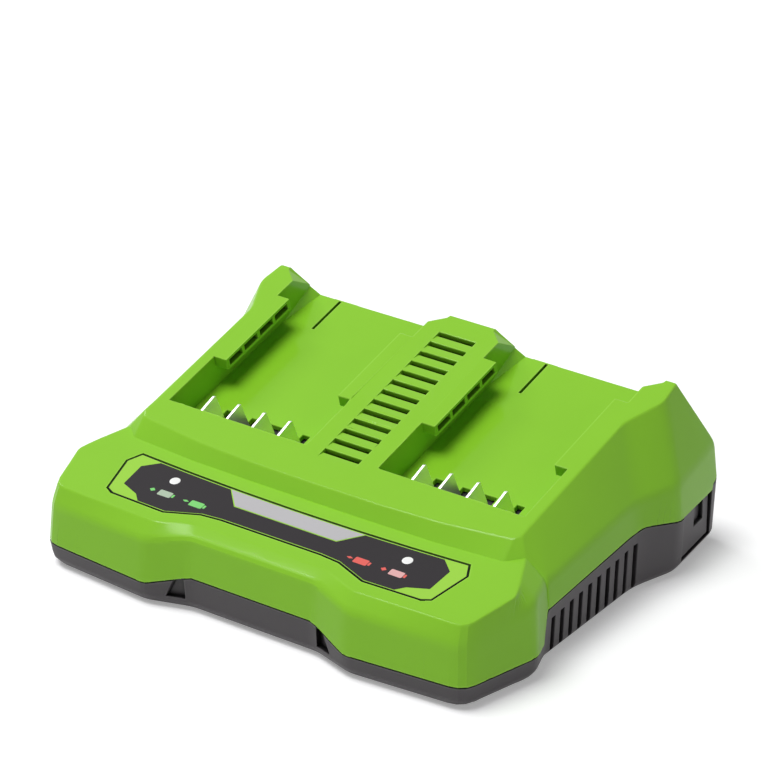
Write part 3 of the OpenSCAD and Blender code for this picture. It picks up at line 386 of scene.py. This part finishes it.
class Finish(Enum):
    """Finishes of the charger, each with its recipe."""

    # The green housing's pale edge colour is a painted highlight and its dark corner colour a painted
    # shade.
    GREEN = Moulding("housing_green", linear(142, 207, 46), 0.34, specular=0.06, gloss=0.3,
                     edge_highlight=linear(190, 244, 110), corner_shade=linear(50, 76, 12), corner_shade_share=1.1)
    # The charcoal base's pale edge colour is a painted highlight, and its strong dark corner colour a
    # painted shade that blackens the vents.
    CHARCOAL = Moulding("base_charcoal", linear(77, 73, 76), 0.45, specular=0.3,
                        edge_highlight=linear(120, 117, 120), corner_shade=linear(10, 9, 10),
                        corner_shade_reach=14.0 * MM, corner_shade_share=5.0)
    BLACK = Moulding("black_plastic", linear(30, 30, 32), 0.5)
    RUBBER = Moulding("rubber_black", linear(26, 26, 27), 0.75, 0.5 * MM, 0.03 * MM)
    LENS = Moulding("lens_white", linear(250, 250, 250), 0.25, 0.8 * MM, 0.002 * MM, 0.99)
    # Dark colour of the panel sheet, bare only as a thin rim round the printed face: a painted shadow of
    # the groove round the sheet.
    GROOVE_SHADE = printed("panel_groove_shade", linear(22, 22, 24), 0.4, 0.92, 0.06)
    SHEET = printed("panel_green", linear(163, 219, 80), 0.32, 0.97, 0.06)
    FIELD = printed("panel_dark", linear(57, 54, 57), 0.34, 0.92, 0.06)
    SILVER = printed("panel_silver", linear(189, 187, 191), 0.36, 0.93)
    MARK_GREEN = printed("mark_green", linear(120, 214, 110))
    MARK_RED = printed("mark_red", linear(232, 92, 84))
    MARK_PALE = printed("mark_pale", linear(176, 196, 172))
    MARK_PINK = printed("mark_pink", linear(232, 176, 176))
    BOARD = Moulding("board_green", linear(24, 98, 58), 0.3, 1.2 * MM, 0.01 * MM, 0.8)
    FERRITE = Moulding("ferrite", linear(62, 62, 66), 0.6, 0.6 * MM, 0.03 * MM, 0.85)
    TAPE = Moulding("winding_tape", linear(226, 190, 60), 0.4, 2.0 * MM, 0.04 * MM, 0.9)
    CORE = Moulding("core_yellow", linear(222, 200, 66), 0.45, 0.6 * MM, 0.02 * MM, 0.9)
    SLEEVE = Moulding("capacitor_sleeve", linear(32, 38, 82), 0.28, 1.0 * MM, 0.004 * MM, 0.9)
    BOX = small_casing("capacitor_box", linear(222, 180, 84), 0.4)
    EPOXY = Moulding("varistor_blue", linear(40, 92, 190), 0.3, 1.0 * MM, 0.01 * MM, 0.9)
    RELAY = small_casing("relay_case", linear(226, 104, 44), 0.35)
    TERMINAL = small_casing("terminal_green", linear(46, 130, 66), 0.42)
    RIBBON = Moulding("cable_grey", linear(168, 168, 172), 0.45, 0.8 * MM, 0.03 * MM, 0.85)
    LAMP = printed("led_white", linear(240, 240, 226), 0.3)
    GLASS = Moulding("fuse_glass", linear(226, 234, 236), 0.1, 2.0 * MM, 0.002 * MM, 0.95)
    NICKEL = BrushedMetal("contact_nickel", (0.86, 0.86, 0.85))
    ZINC = BrushedMetal("screw_zinc", (0.72, 0.72, 0.73), 0.3, 0.4 * MM, (1.0, 1.0, 1.0))
    ALUMINIUM = BrushedMetal("heatsink_aluminium", (0.78, 0.79, 0.81), 0.35, 0.4 * MM, (1.0, 1.0, 20.0))
    COPPER = BrushedMetal("copper_wire", (0.8, 0.42, 0.22), 0.3, 0.8 * MM, (1.0, 1.0, 20.0))


_materials: Dict[Finish, bpy.types.Material] = {}


def material(finish: Finish) -> bpy.types.Material:
    """Finds the material of a finish, which is made once.

    Args:
        finish: the finish.

    Returns:
        Its material.
    """
    if finish not in _materials:
        _materials[finish] = finish.value.build()
    return _materials[finish]


CAD_FINISHES: Dict[str, Finish] = {
    "indicator_board": Finish.BOARD, "indicator_leds": Finish.LAMP,
    "indicator_board_screws": Finish.ZINC, "ribbon_cable": Finish.RIBBON,
    "terminal_block_left": Finish.BLACK, "terminal_block_right": Finish.BLACK,
    "main_board": Finish.BOARD, "board_screws": Finish.ZINC, "transformer_core": Finish.FERRITE,
    "transformer_bobbin": Finish.BLACK, "transformer_winding": Finish.TAPE,
    "filter_choke_core": Finish.FERRITE, "filter_choke_winding": Finish.COPPER,
    "output_choke_core": Finish.CORE, "output_choke_winding": Finish.COPPER,
    "bulk_capacitor": Finish.SLEEVE, "output_capacitors": Finish.SLEEVE, "filter_capacitor": Finish.BOX,
    "bridge_rectifier": Finish.BLACK, "varistor": Finish.EPOXY, "mains_fuse": Finish.GLASS,
    "fuse_clips": Finish.ZINC, "heatsink": Finish.ALUMINIUM, "power_transistors": Finish.BLACK,
    "charge_relays": Finish.RELAY, "control_chip": Finish.BLACK, "mains_terminal": Finish.TERMINAL,
    "cord_gland": Finish.RUBBER,
}


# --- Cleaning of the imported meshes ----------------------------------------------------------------


MERGE_REACH = 0.012 * MM  # corners that are closer than this become one
COLLAPSE_REACH = 0.004 * MM  # edges that are shorter than this vanish
NEEDLE_HEIGHT = 0.03 * MM  # a triangle that is lower than this is a needle
NEEDLE_PASSES = 12
FLAT_ANGLE = math.radians(0.05)  # faces that bend less than this are one flat face


def turn_slivers(mesh: bmesh.types.BMesh, thin: float) -> None:
    """Turns the long edge of each needle-like triangle, so that the needle joins its neighbour.

    Args:
        mesh: a mesh of triangles.
        thin: the height under which a triangle is a needle.
    """
    for _ in range(NEEDLE_PASSES):
        chosen: List[bmesh.types.BMEdge] = []
        taken = set()
        for face in mesh.faces:
            longest = max(face.edges, key=lambda edge: edge.calc_length())
            if (2 * face.calc_area() < thin * longest.calc_length() and len(longest.link_faces) == 2
                    and not taken & set(longest.link_faces)):
                chosen.append(longest)
                taken.update(longest.link_faces)
        if not chosen or not bmesh.ops.rotate_edges(mesh, edges=chosen, use_ccw=False)["edges"]:
            break


def merged_copy(node: str) -> bmesh.types.BMesh:
    """Copies a CAD node's mesh, merges its loose triangles and retriangulates its flat faces.

    Args:
        node: the node's name.

    Returns:
        A mesh of triangles.
    """
    mesh = bmesh.new()
    mesh.from_mesh(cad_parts[node].data)
    bmesh.ops.remove_doubles(mesh, verts=mesh.verts, dist=MERGE_REACH)
    bmesh.ops.dissolve_degenerate(mesh, edges=mesh.edges, dist=COLLAPSE_REACH)
    turn_slivers(mesh, NEEDLE_HEIGHT)
    flat = [edge for edge in mesh.edges
            if len(edge.link_faces) == 2 and edge.calc_face_angle() < FLAT_ANGLE]
    bmesh.ops.beautify_fill(mesh, faces=mesh.faces, edges=flat, use_restrict_tag=False,
                            method="ANGLE")
    return mesh


# --- Shaping --------------------------------------------------------------------------------------


CORNER_STEPS = 4
TURN_STEPS = 48
POINT_REACH = 0.001 * MM  # corners of a turned shape that are closer than this are one


@dataclass(frozen=True)
class Rounding:
    """A small rounding of the crisp outer edges of a mesh.

    Edges that bend less than the sharpest angle in degrees or run under the shortest length stay as
    they are. So do those that have another crisp edge within the room, a number of widths, at one of
    the places looked at, a step apart. No place is looked at near an edge's ends, where others meet
    it: that stretch is a number of rooms or a share of the edge's length, whichever is less.
    """

    width: float
    sharpest: float
    shortest: float
    room: float = 4.4
    probe_step: float = 0.4 * MM
    end_rooms: float = 1.4
    end_share: float = 0.4

    def free_edges(self, edges: Sequence[bmesh.types.BMEdge]) -> List[bmesh.types.BMEdge]:
        """Picks the edges that have no other crisp edge alongside their inner part.

        Args:
            edges: the crisp edges of a mesh.

        Returns:
            The edges that may be rounded.
        """
        room = self.width * self.room
        points = []
        for edge in edges:
            start, end = (vertex.co for vertex in edge.verts)
            count = max(1, int((end - start).length / self.probe_step))
            points += [(start.lerp(end, (step + 0.5) / count), edge) for step in range(count)]
        tree = KDTree(len(points))
        for number, (place, _) in enumerate(points):
            tree.insert(place, number)
        tree.balance()
        crowded = set()
        for place, edge in points:
            from_end = min((place - vertex.co).length for vertex in edge.verts)
            if from_end < min(room * self.end_rooms, edge.calc_length() * self.end_share):
                continue
            if any(points[number][1] is not edge for _, number, _ in tree.find_range(place, room)):
                crowded.add(edge)
        return [edge for edge in edges if edge not in crowded]

    def apply(self, mesh: bmesh.types.BMesh) -> None:
        """Bevels the crisp outer edges of a mesh, inside the mesh's own box.

        Args:
            mesh: the mesh to change.
        """
        low = Vector(min(vertex.co[axis] for vertex in mesh.verts) for axis in range(3))
        high = Vector(max(vertex.co[axis] for vertex in mesh.verts) for axis in range(3))
        crisp = [edge for edge in mesh.edges
                 if len(edge.link_faces) == 2 and edge.calc_face_angle() > math.radians(self.sharpest)]
        edges = [edge for edge in self.free_edges(crisp)
                 if edge.is_convex and edge.calc_length() > self.shortest]
        bmesh.ops.bevel(mesh, geom=edges, offset=self.width, offset_type="OFFSET", segments=2,
                        profile=0.5, affect="EDGES", clamp_overlap=False, material=-1)
        for vertex in mesh.verts:
            vertex.co = Vector(min(max(part, least), most)
                               for part, least, most in zip(vertex.co, low, high))


def end_caps(mesh: bmesh.types.BMesh, level: float) -> List[List[bmesh.types.BMFace]]:
    """Finds the flat faces at a level that look down, one group for each separate cap.

    Args:
        mesh: the mesh to search.
        level: the height of the caps.

    Returns:
        The faces of each cap.
    """
    downward, tolerance = -0.99, 0.01 * MM
    left = {face for face in mesh.faces
            if face.normal.z < downward and abs(face.calc_center_median().z - level) < tolerance}
    caps = []
    while left:
        cap, queue = [], [left.pop()]
        while queue:
            face = queue.pop()
            cap.append(face)
            near = {other for edge in face.edges for other in edge.link_faces} & left
            left -= near
            queue += near
        caps.append(cap)
    return caps


def sink_cap(mesh: bmesh.types.BMesh, cap: List[bmesh.types.BMFace], margin: float, depth: float,
             lobes: int, swell: float = 0.16) -> None:
    """Sinks the middle of a cap into its piece.

    Args:
        mesh: the mesh that holds the cap.
        cap: the faces of the cap.
        margin: the width of the rim that stays.
        depth: how deep the middle goes.
        lobes: how many lobes the sunk outline has, or none for a round one.
        swell: how far the lobes stand out, as a share of the outline's radius.
    """
    bmesh.ops.inset_region(mesh, faces=cap, thickness=margin, use_even_offset=True)
    points = {vertex for face in cap for vertex in face.verts}
    centre = sum((vertex.co for vertex in points), Vector()) / len(points)
    for vertex in points if lobes else ():
        arm = vertex.co - centre
        vertex.co = centre + arm * (1.0 + swell * math.cos(lobes * math.atan2(arm.y, arm.x)))
    sunk = bmesh.ops.extrude_face_region(mesh, geom=cap)
    moved = [part for part in sunk["geom"] if isinstance(part, bmesh.types.BMVert)]
    bmesh.ops.translate(mesh, vec=(0.0, 0.0, depth), verts=moved)


def shade_smooth(mesh: bmesh.types.BMesh, crease: float = 32.0) -> None:
    """Shades the faces of a mesh as one surface that creases at its sharp edges.

    Args:
        mesh: the mesh to shade.
        crease: the angle in degrees over which an edge is sharp.
    """
    for face in mesh.faces:
        face.smooth = True
    for edge in mesh.edges:
        edge.smooth = len(edge.link_faces) == 2 and edge.calc_face_angle() < math.radians(crease)


def plate(outline: Sequence[Point], low: float, high: float, corner: float = 0.0,
          margin: float = 0.0) -> bmesh.types.BMesh:
    """A flat plate with a given outline.

    Args:
        outline: the corners of the outline, in order.
        low: the level of its underside.
        high: the level of its top.
        corner: the width of the rounding of its corners.
        margin: how far inside the outline the plate ends.

    Returns:
        A closed mesh.
    """
    mesh = bmesh.new()
    corners = [mesh.verts.new((x, y, low)) for x, y in outline]
    rim = [mesh.edges.new(pair) for pair in zip(corners, corners[1:] + corners[:1])]
    bmesh.ops.edgeloop_fill(mesh, edges=rim)
    if corner:
        bmesh.ops.bevel(mesh, geom=corners, offset=corner, offset_type="OFFSET", segments=CORNER_STEPS,
                        profile=0.5, affect="VERTICES", clamp_overlap=True, material=-1)
    if margin:
        ring = bmesh.ops.inset_region(mesh, faces=mesh.faces[:], thickness=margin,
                                      use_even_offset=True, use_boundary=True)
        bmesh.ops.delete(mesh, geom=ring["faces"], context="FACES")
    raised = bmesh.ops.extrude_face_region(mesh, geom=mesh.faces[:], use_keep_orig=True)
    top = [part for part in raised["geom"] if isinstance(part, bmesh.types.BMVert)]
    bmesh.ops.translate(mesh, vec=(0.0, 0.0, high - low), verts=top)
    bmesh.ops.recalc_face_normals(mesh, faces=mesh.faces)
    return mesh


def turned(profile: Sequence[Point]) -> bmesh.types.BMesh:
    """A turned shape round the Z axis.

    Args:
        profile: distances from the axis and levels, from one end of the axis to the other.

    Returns:
        A closed mesh.
    """
    mesh = bmesh.new()
    points = [mesh.verts.new((radius, 0.0, level)) for radius, level in profile]
    sides = [mesh.edges.new(pair) for pair in zip(points, points[1:])]
    bmesh.ops.spin(mesh, geom=points + sides, cent=(0.0, 0.0, 0.0), axis=(0.0, 0.0, 1.0),
                   angle=math.tau, steps=TURN_STEPS, use_merge=True)
    bmesh.ops.remove_doubles(mesh, verts=mesh.verts, dist=POINT_REACH)
    bmesh.ops.recalc_face_normals(mesh, faces=mesh.faces)
    return mesh


def finish_piece(mesh: bmesh.types.BMesh, name: str, finish: Finish,
                 replaces: Sequence[str] = ()) -> bpy.types.Object:
    """Turns a bmesh into a piece that rides on the housing.

    Args:
        mesh: the shape, which is freed.
        name: the piece's name.
        finish: its finish.
        replaces: the CAD nodes that it stands for.

    Returns:
        The new object.
    """
    data = bpy.data.meshes.new(name)
    mesh.to_mesh(data)
    mesh.free()
    piece = bpy.data.objects.new(name, data)
    bpy.context.scene.collection.objects.link(piece)
    data.materials.append(material(finish))
    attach(piece, "root")
    if replaces:
        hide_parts(*replaces)
    return piece


def keep_flats_flat(piece: bpy.types.Object) -> None:
    """Lets the large faces of a piece set the normals of the small bends beside them.

    Args:
        piece: the piece to shade so.
    """
    weighting = piece.modifiers.new("large_faces_first", "WEIGHTED_NORMAL")
    weighting.mode = "FACE_AREA"
    weighting.weight = 80
    weighting.keep_sharp = True


# --- Housing --------------------------------------------------------------------------------------


@dataclass
class Housing:
    """The two moulded shells of the charger."""

    edges: Rounding = Rounding(width=0.3 * MM, sharpest=34.0, shortest=1.4 * MM)
    crease: float = 19.0
    shells: Tuple[Tuple[str, Finish, str], ...] = (("top_shell", Finish.GREEN, "housing_green"),
                                                   ("base_shell", Finish.CHARCOAL, "base_charcoal"))

    def build(self) -> List[bpy.types.Object]:
        """Makes both shells with rounded edges.

        Returns:
            The shells.
        """
        pieces = []
        for node, finish, slot in self.shells:
            mesh = merged_copy(node)
            self.edges.apply(mesh)
            shade_smooth(mesh, self.crease)
            shell = finish_piece(mesh, node + "_moulding", finish, (node,))
            keep_flats_flat(shell)
            pieces.append(shell)
        return pieces


# --- Status panel ---------------------------------------------------------------------------------


@dataclass
class LedgeFrame:
    """Frame of reference on the top of the status panel's sheet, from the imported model.

    X runs across, Y up the slope and Z out of the sheet, from the middle of its rear corners.
    """

    matrix: Matrix

    @classmethod
    def from_sheet(cls) -> "LedgeFrame":
        """Reads the frame from the sheet's own mesh.

        Returns:
            The frame.
        """
        upward = 0.9
        mesh = merged_copy("status_panel")
        normal = sum((face.normal * face.calc_area() for face in mesh.faces if face.normal.z > upward),
                     Vector()).normalized()
        slope = Vector((0.0, normal.z, -normal.y))
        top = max(normal.dot(vertex.co) for vertex in mesh.verts)
        rear = max(slope.dot(vertex.co) for vertex in mesh.verts)
        mesh.free()
        origin = normal * top + slope * rear
        columns = (Vector((1.0, 0.0, 0.0)), slope, normal, origin)
        rows = [[column[row] for column in columns] for row in range(3)]
        return cls(Matrix(rows + [[0.0, 0.0, 0.0, 1.0]]))


def in_mm(*points: Point) -> Tuple[Point, ...]:
    """Points given in millimetres."""
    return tuple((x * MM, y * MM) for x, y in points)


def rectangle(x: float, y: float, length: float, width: float) -> List[Point]:
    """The corners of a rectangle, from the middle of its left side."""
    low, high = y - width / 2, y + width / 2
    return [(x, low), (x + length, low), (x + length, high), (x, high)]


def lozenge(x: float, y: float, length: float, width: float) -> List[Point]:
    """The corners of a lozenge, from its left end."""
    middle = x + length / 2
    return [(x, y), (middle, y - width / 2), (x + length, y), (middle, y + width / 2)]


class Layer(Enum):
    """Printed layers of the status panel, counted up from its sheet."""

    FACE = 1
    FIELD = 2
    INLAY = 3
    PLAQUE = 4


@dataclass(frozen=True)
class BatteryMark:
    """A plain battery shape, which is a body with a cap at its right end, after a small lozenge."""

    name: str
    body: Finish
    cap: Finish
    sign_start: float
    sign_size: Point
    start: float
    length: float = 6.0 * MM
    width: float = 3.3 * MM
    corner: float = 0.5 * MM
    cap_gap: float = 0.25 * MM
    cap_size: Point = (1.0 * MM, 1.9 * MM)
    cap_corner: float = 0.25 * MM
    sign_lift: float = 0.1 * MM
    sign_corner: float = 0.2 * MM


@dataclass
class StatusPanel:
    """The printed sheet in the ledge: a light green sheet with a dark field, a bare plaque and marks.

    The half outlines list distances from the middle and forward of the sheet's rear corners.
    """

    ledge: LedgeFrame
    slot: str = "panel_sheet"
    layer_t: float = 0.04 * MM
    stripe: float = 0.45 * MM
    rim: float = 0.5 * MM
    rear_reach: float = 76.6 * MM
    bow: float = 2.4 * MM
    bow_steps: int = 6
    sheet_corner: float = 76.3 * MM
    sheet_side: Tuple[Point, ...] = in_mm((79.37, 6.15), (75.27, 23.84), (71.58, 25.59), (46.28, 26.38),
                                          (32.11, 21.19), (23.02, 20.38))
    field_corner: float = 66.2 * MM
    field_side: Tuple[Point, ...] = in_mm((72.0, 6.7), (71.2, 18.7), (62.8, 21.9), (59.6, 25.15),
                                          (46.15, 25.55), (32.0, 20.35), (23.0, 19.55))
    plaque_top: float = 31.0 * MM
    plaque_bottom: Point = (23.6 * MM, 10.8 * MM)
    row: float = 16.8 * MM
    marks: Tuple[BatteryMark, ...] = (
        BatteryMark("mark_ready", Finish.MARK_PALE, Finish.MARK_GREEN, -60.0 * MM, (2.6 * MM, 2.2 * MM),
                    -55.6 * MM),
        BatteryMark("mark_full", Finish.MARK_GREEN, Finish.MARK_GREEN, -44.2 * MM, (3.0 * MM, 1.3 * MM),
                    -40.6 * MM),
        BatteryMark("mark_charging", Finish.MARK_RED, Finish.MARK_RED, 32.4 * MM, (3.0 * MM, 1.3 * MM),
                    36.0 * MM),
        BatteryMark("mark_fault", Finish.MARK_PINK, Finish.MARK_RED, 47.9 * MM, (2.6 * MM, 2.2 * MM),
                    52.0 * MM),
    )

    def both_sides(self, half: Sequence[Point]) -> List[Point]:
        """The full outline in sheet coordinates, from its right half given from rear to front."""
        right = [(x, -forward) for x, forward in half]
        return right + [(-x, y) for x, y in reversed(right) if x > 0.0]

    def rear_run(self, reach: float, inset: float) -> List[Point]:
        """Right half of a stretch along the bowed rear edge, moved forward by an inset."""
        stations = [reach * step / self.bow_steps for step in range(self.bow_steps + 1)]
        return [(x, self.bow * (1.0 - (x / self.rear_reach) ** 2) + inset) for x in stations]

    def print_layer(self, name: str, finish: Finish, outline: Sequence[Point], layer: Layer,
                    corner: float = 0.0, margin: float = 0.0) -> bpy.types.Object:
        """Prints a shape on the sheet.

        Args:
            name: the piece's name.
            finish: its finish.
            outline: its corners in sheet coordinates.
            layer: the layer that its top makes.
            corner: the width of the rounding of its corners.
            margin: how far inside the outline it ends.

        Returns:
            The new piece.
        """
        mesh = plate(outline, -self.layer_t, self.layer_t * layer.value, corner, margin)
        mesh.transform(self.ledge.matrix)
        return finish_piece(mesh, name, finish)

    def print_mark(self, mark: BatteryMark) -> List[bpy.types.Object]:
        """Prints a battery mark and the lozenge before it.

        Args:
            mark: the mark.

        Returns:
            The lozenge, the body and the cap.
        """
        y = -self.row
        sign = lozenge(mark.sign_start, y + mark.sign_lift, *mark.sign_size)
        body = rectangle(mark.start, y, mark.length, mark.width)
        cap = rectangle(mark.start + mark.length + mark.cap_gap, y, *mark.cap_size)
        return [self.print_layer(mark.name + "_sign", mark.cap, sign, Layer.INLAY, mark.sign_corner),
                self.print_layer(mark.name, mark.body, body, Layer.INLAY, mark.corner),
                self.print_layer(mark.name + "_cap", mark.cap, cap, Layer.INLAY, mark.cap_corner)]

    def build(self) -> List[bpy.types.Object]:
        """Makes the sheet and everything printed on it.

        Returns:
            The sheet, its layers and its marks.
        """
        sheet = merged_copy("status_panel")
        shade_smooth(sheet)
        inset = self.rim + self.stripe
        face = self.both_sides(self.rear_run(self.sheet_corner, 0.0) + list(self.sheet_side))
        field = self.both_sides(self.rear_run(self.field_corner, inset) + list(self.field_side))
        edge_top = self.rear_run(self.plaque_top + 2 * self.stripe, self.rim)
        edge_bottom = (self.plaque_bottom[0] + self.stripe / 2, self.plaque_bottom[1] + self.stripe)
        edge = self.both_sides(edge_top + [edge_bottom])
        plaque = self.both_sides(self.rear_run(self.plaque_top, inset) + [self.plaque_bottom])
        pieces = [
            # The sheet is dressed dark and shows as a thin rim round the printed face: a painted shadow
            # along the groove.
            finish_piece(sheet, "status_panel_sheet", Finish.GROOVE_SHADE, ("status_panel",)),
            self.print_layer("status_panel_face", Finish.SHEET, face, Layer.FACE, margin=self.rim),
            self.print_layer("status_panel_field", Finish.FIELD, field, Layer.FIELD),
            self.print_layer("status_panel_plaque_edge", Finish.SHEET, edge, Layer.INLAY),
            self.print_layer("status_panel_plaque", Finish.SILVER, plaque, Layer.PLAQUE),
        ]
        for mark in self.marks:
            pieces += self.print_mark(mark)
        return pieces


@dataclass
class LightPipe:
    """The white lens of one side, with a low dome and a flange under the housing's skin."""

    ledge: LedgeFrame
    side: str
    dome: float = 0.35 * MM
    dome_steps: int = 5
    flange_t: float = 1.0 * MM
    top_reach: float = 0.01 * MM

    def build(self) -> List[bpy.types.Object]:
        """Turns the lens in the place of its CAD node.

        Returns:
            The lens, as the only piece.
        """
        node = "led_lens_" + self.side
        mesh = merged_copy(node)
        inward = self.ledge.matrix.inverted()
        places = [inward @ vertex.co for vertex in mesh.verts]
        mesh.free()
        low, high = min(place.z for place in places), max(place.z for place in places)
        centre = sum(places, Vector()) / len(places)
        reach = [math.hypot(place.x - centre.x, place.y - centre.y) for place in places]
        flange = max(reach)
        lens = max(size for size, place in zip(reach, places) if place.z > high - self.top_reach)
        turns = (math.pi / 2 * step / self.dome_steps for step in range(self.dome_steps + 1))
        rise = [(lens * math.sin(turn), high - self.dome / 2 + self.dome * math.cos(turn))
                for turn in turns]
        shoulder = low + self.flange_t
        shape = turned(rise + [(lens, shoulder), (flange, shoulder), (flange, low), (0.0, low)])
        shape.transform(self.ledge.matrix @ Matrix.Translation((centre.x, centre.y, 0.0)))
        shade_smooth(shape)
        return [finish_piece(shape, node + "_domed", Finish.LENS, (node,))]


# --- Contacts and underside -----------------------------------------------------------------------


@dataclass
class ContactBlades:
    """The stamped contact blades of one bay, with softened edges."""

    side: str
    edges: Rounding = Rounding(width=0.14 * MM, sharpest=30.0, shortest=0.4 * MM)

    def build(self) -> List[bpy.types.Object]:
        """Makes the blades of the bay.

        Returns:
            The blades, as one piece.
        """
        node = "contact_blades_" + self.side
        mesh = merged_copy(node)
        self.edges.apply(mesh)
        shade_smooth(mesh)
        blades = finish_piece(mesh, node + "_stamped", Finish.NICKEL, (node,))
        keep_flats_flat(blades)
        return [blades]


@dataclass
class Underside:
    """The lobed case screws and the dished rubber feet."""

    socket_rim: float = 0.85 * MM
    socket_depth: float = 1.3 * MM
    socket_lobes: int = 6
    foot_rim: float = 1.5 * MM
    foot_dish: float = 0.35 * MM

    def sunk_copy(self, node: str, rim: float, depth: float, lobes: int) -> bmesh.types.BMesh:
        """Copies a node and sinks the middles of its lowest caps.

        Args:
            node: the node's name.
            rim: the width of the rim that stays round each cap.
            depth: how deep the middles go.
            lobes: how many lobes the sunk outlines have, or none for round ones.

        Returns:
            The copy.
        """
        mesh = merged_copy(node)
        lowest = min(vertex.co.z for vertex in mesh.verts)
        for cap in end_caps(mesh, lowest):
            sink_cap(mesh, cap, rim, depth, lobes)
        shade_smooth(mesh)
        return mesh

    def build(self) -> List[bpy.types.Object]:
        """Makes the screws and the feet.

        Returns:
            The screws in one piece and the feet in another.
        """
        screws = self.sunk_copy("case_screws", self.socket_rim, self.socket_depth, self.socket_lobes)
        feet = self.sunk_copy("rubber_feet", self.foot_rim, self.foot_dish, 0)
        return [finish_piece(screws, "case_screws_socketed", Finish.ZINC, ("case_screws",)),
                finish_piece(feet, "rubber_feet_dished", Finish.RUBBER, ("rubber_feet",))]


def dress_cad() -> None:
    """Gives every carried-over CAD node its material."""
    for node, finish in CAD_FINISHES.items():
        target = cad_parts[node]
        target.data.materials.clear()
        target.data.materials.append(material(finish))
        log.info("%s: dressed as %s", node, finish.value.name)


# --- Stage ----------------------------------------------------------------------------------------


@dataclass(frozen=True)
class Lamp:
    """A soft square lamp that points at the charger, with its power in watts."""

    name: str
    place: Place
    size: float
    power: float

    def build(self) -> None:
        """Hangs the lamp."""
        data = bpy.data.lights.new(self.name, "AREA")
        data.size = self.size
        data.energy = self.power
        lamp = bpy.data.objects.new(self.name, data)
        lamp.location = self.place
        lamp.rotation_euler = (-Vector(self.place)).to_track_quat("-Z", "Y").to_euler()
        bpy.context.scene.collection.objects.link(lamp)


@dataclass
class Studio:
    """Camera, floor, backdrop and lamps.

    The camera's tilt and turn are in degrees, its focal length and sensor in millimetres.
    """

    camera_place: Place = (0.7648, -1.0841, 0.7404)
    camera_tilt: float = 63.28
    camera_turn: float = 35.02
    focal: float = 182.05
    sensor: float = 36.0
    farthest: float = 50.0
    floor_reach: float = 24.0
    floor_colours: Tuple[Colour, Colour] = ((0.86, 0.86, 0.875), (0.88, 0.88, 0.89))
    floor_cloud: float = 0.8
    floor_roughness: float = 0.9
    floor_specular: float = 0.1
    floor_glow: float = 0.3
    ambient: float = 0.07
    lamps: Tuple[Lamp, ...] = (Lamp("overhead", (-0.9, -0.8, 4.0), 2.2, 147.0),
                               Lamp("left_key", (-2.2, 0.6, 1.8), 0.8, 14.0),
                               Lamp("right_fill", (2.4, -1.4, 0.8), 1.6, 8.0))

    def camera(self) -> None:
        """Places the camera."""
        data = bpy.data.cameras.new("camera")
        data.lens = self.focal
        data.sensor_width = self.sensor
        data.sensor_fit = "HORIZONTAL"
        data.clip_end = self.farthest
        camera = bpy.data.objects.new("camera", data)
        camera.location = self.camera_place
        camera.rotation_euler = (math.radians(self.camera_tilt), 0.0, math.radians(self.camera_turn))
        bpy.context.scene.collection.objects.link(camera)
        bpy.context.scene.camera = camera

    def floor(self) -> None:
        """Makes the pale floor, which glows a little where it is seen directly."""
        mesh = bmesh.new()
        bmesh.ops.create_grid(mesh, x_segments=1, y_segments=1, size=self.floor_reach / 2)
        data = bpy.data.meshes.new("floor")
        mesh.to_mesh(data)
        mesh.free()
        floor = bpy.data.objects.new("floor", data)
        bpy.context.scene.collection.objects.link(floor)
        shader = Shader("floor_pale")
        shader.set(Base_Color=shader.blend(shader.noise(self.floor_cloud), *self.floor_colours),
                   Roughness=self.floor_roughness, Specular_IOR_Level=self.floor_specular)
        plain = shader.principled.outputs[0]
        glow = shader.node("ShaderNodeEmission", None, {"Color": WHITE, "Strength": self.floor_glow})
        both = shader.node("ShaderNodeAddShader", None, {0: plain, 1: glow.outputs[0]})
        choice = shader.node("ShaderNodeMixShader", None,
                             {0: shader.seen_directly(), 1: plain, 2: both.outputs[0]})
        shader.feed(shader.tree.nodes["Material Output"].inputs["Surface"], choice.outputs[0])
        data.materials.append(shader.material)

    def world(self) -> None:
        """Lights the scene evenly and shows white to the camera and to reflections."""
        world = bpy.data.worlds.new("studio")
        bpy.context.scene.world = world
        world.use_nodes = True
        nodes = Nodes(world.node_tree)
        dim = nodes.tree.nodes["Background"]
        nodes.feed(dim.inputs["Color"], WHITE)
        nodes.feed(dim.inputs["Strength"], self.ambient)
        bright = nodes.node("ShaderNodeBackground", None, {"Color": WHITE, "Strength": 1.0})
        choice = nodes.node("ShaderNodeMixShader", None,
                            {0: nodes.seen_directly(), 1: dim.outputs[0], 2: bright.outputs[0]})
        nodes.feed(nodes.tree.nodes["World Output"].inputs["Surface"], choice.outputs[0])

    def build(self) -> None:
        """Sets up the whole studio."""
        self.camera()
        self.floor()
        self.world()
        for lamp in self.lamps:
            lamp.build()
        bpy.context.scene.view_settings.view_transform = "Standard"


# --- Putting it together --------------------------------------------------------------------------


def main() -> None:
    """Builds the charger's looks and the studio."""
    logging.basicConfig(level=logging.INFO, format="%(message)s")
    Studio().build()
    dress_cad()
    ledge = LedgeFrame.from_sheet()
    assemblies = [Housing(), StatusPanel(ledge)]
    for side in SIDES:
        assemblies += [LightPipe(ledge, side), ContactBlades(side)]
    assemblies.append(Underside())
    for assembly in assemblies:
        for piece in assembly.build():
            log.info("%s: %d faces", piece.name, len(piece.data.polygons))


if __name__ == "__main__":
    main()
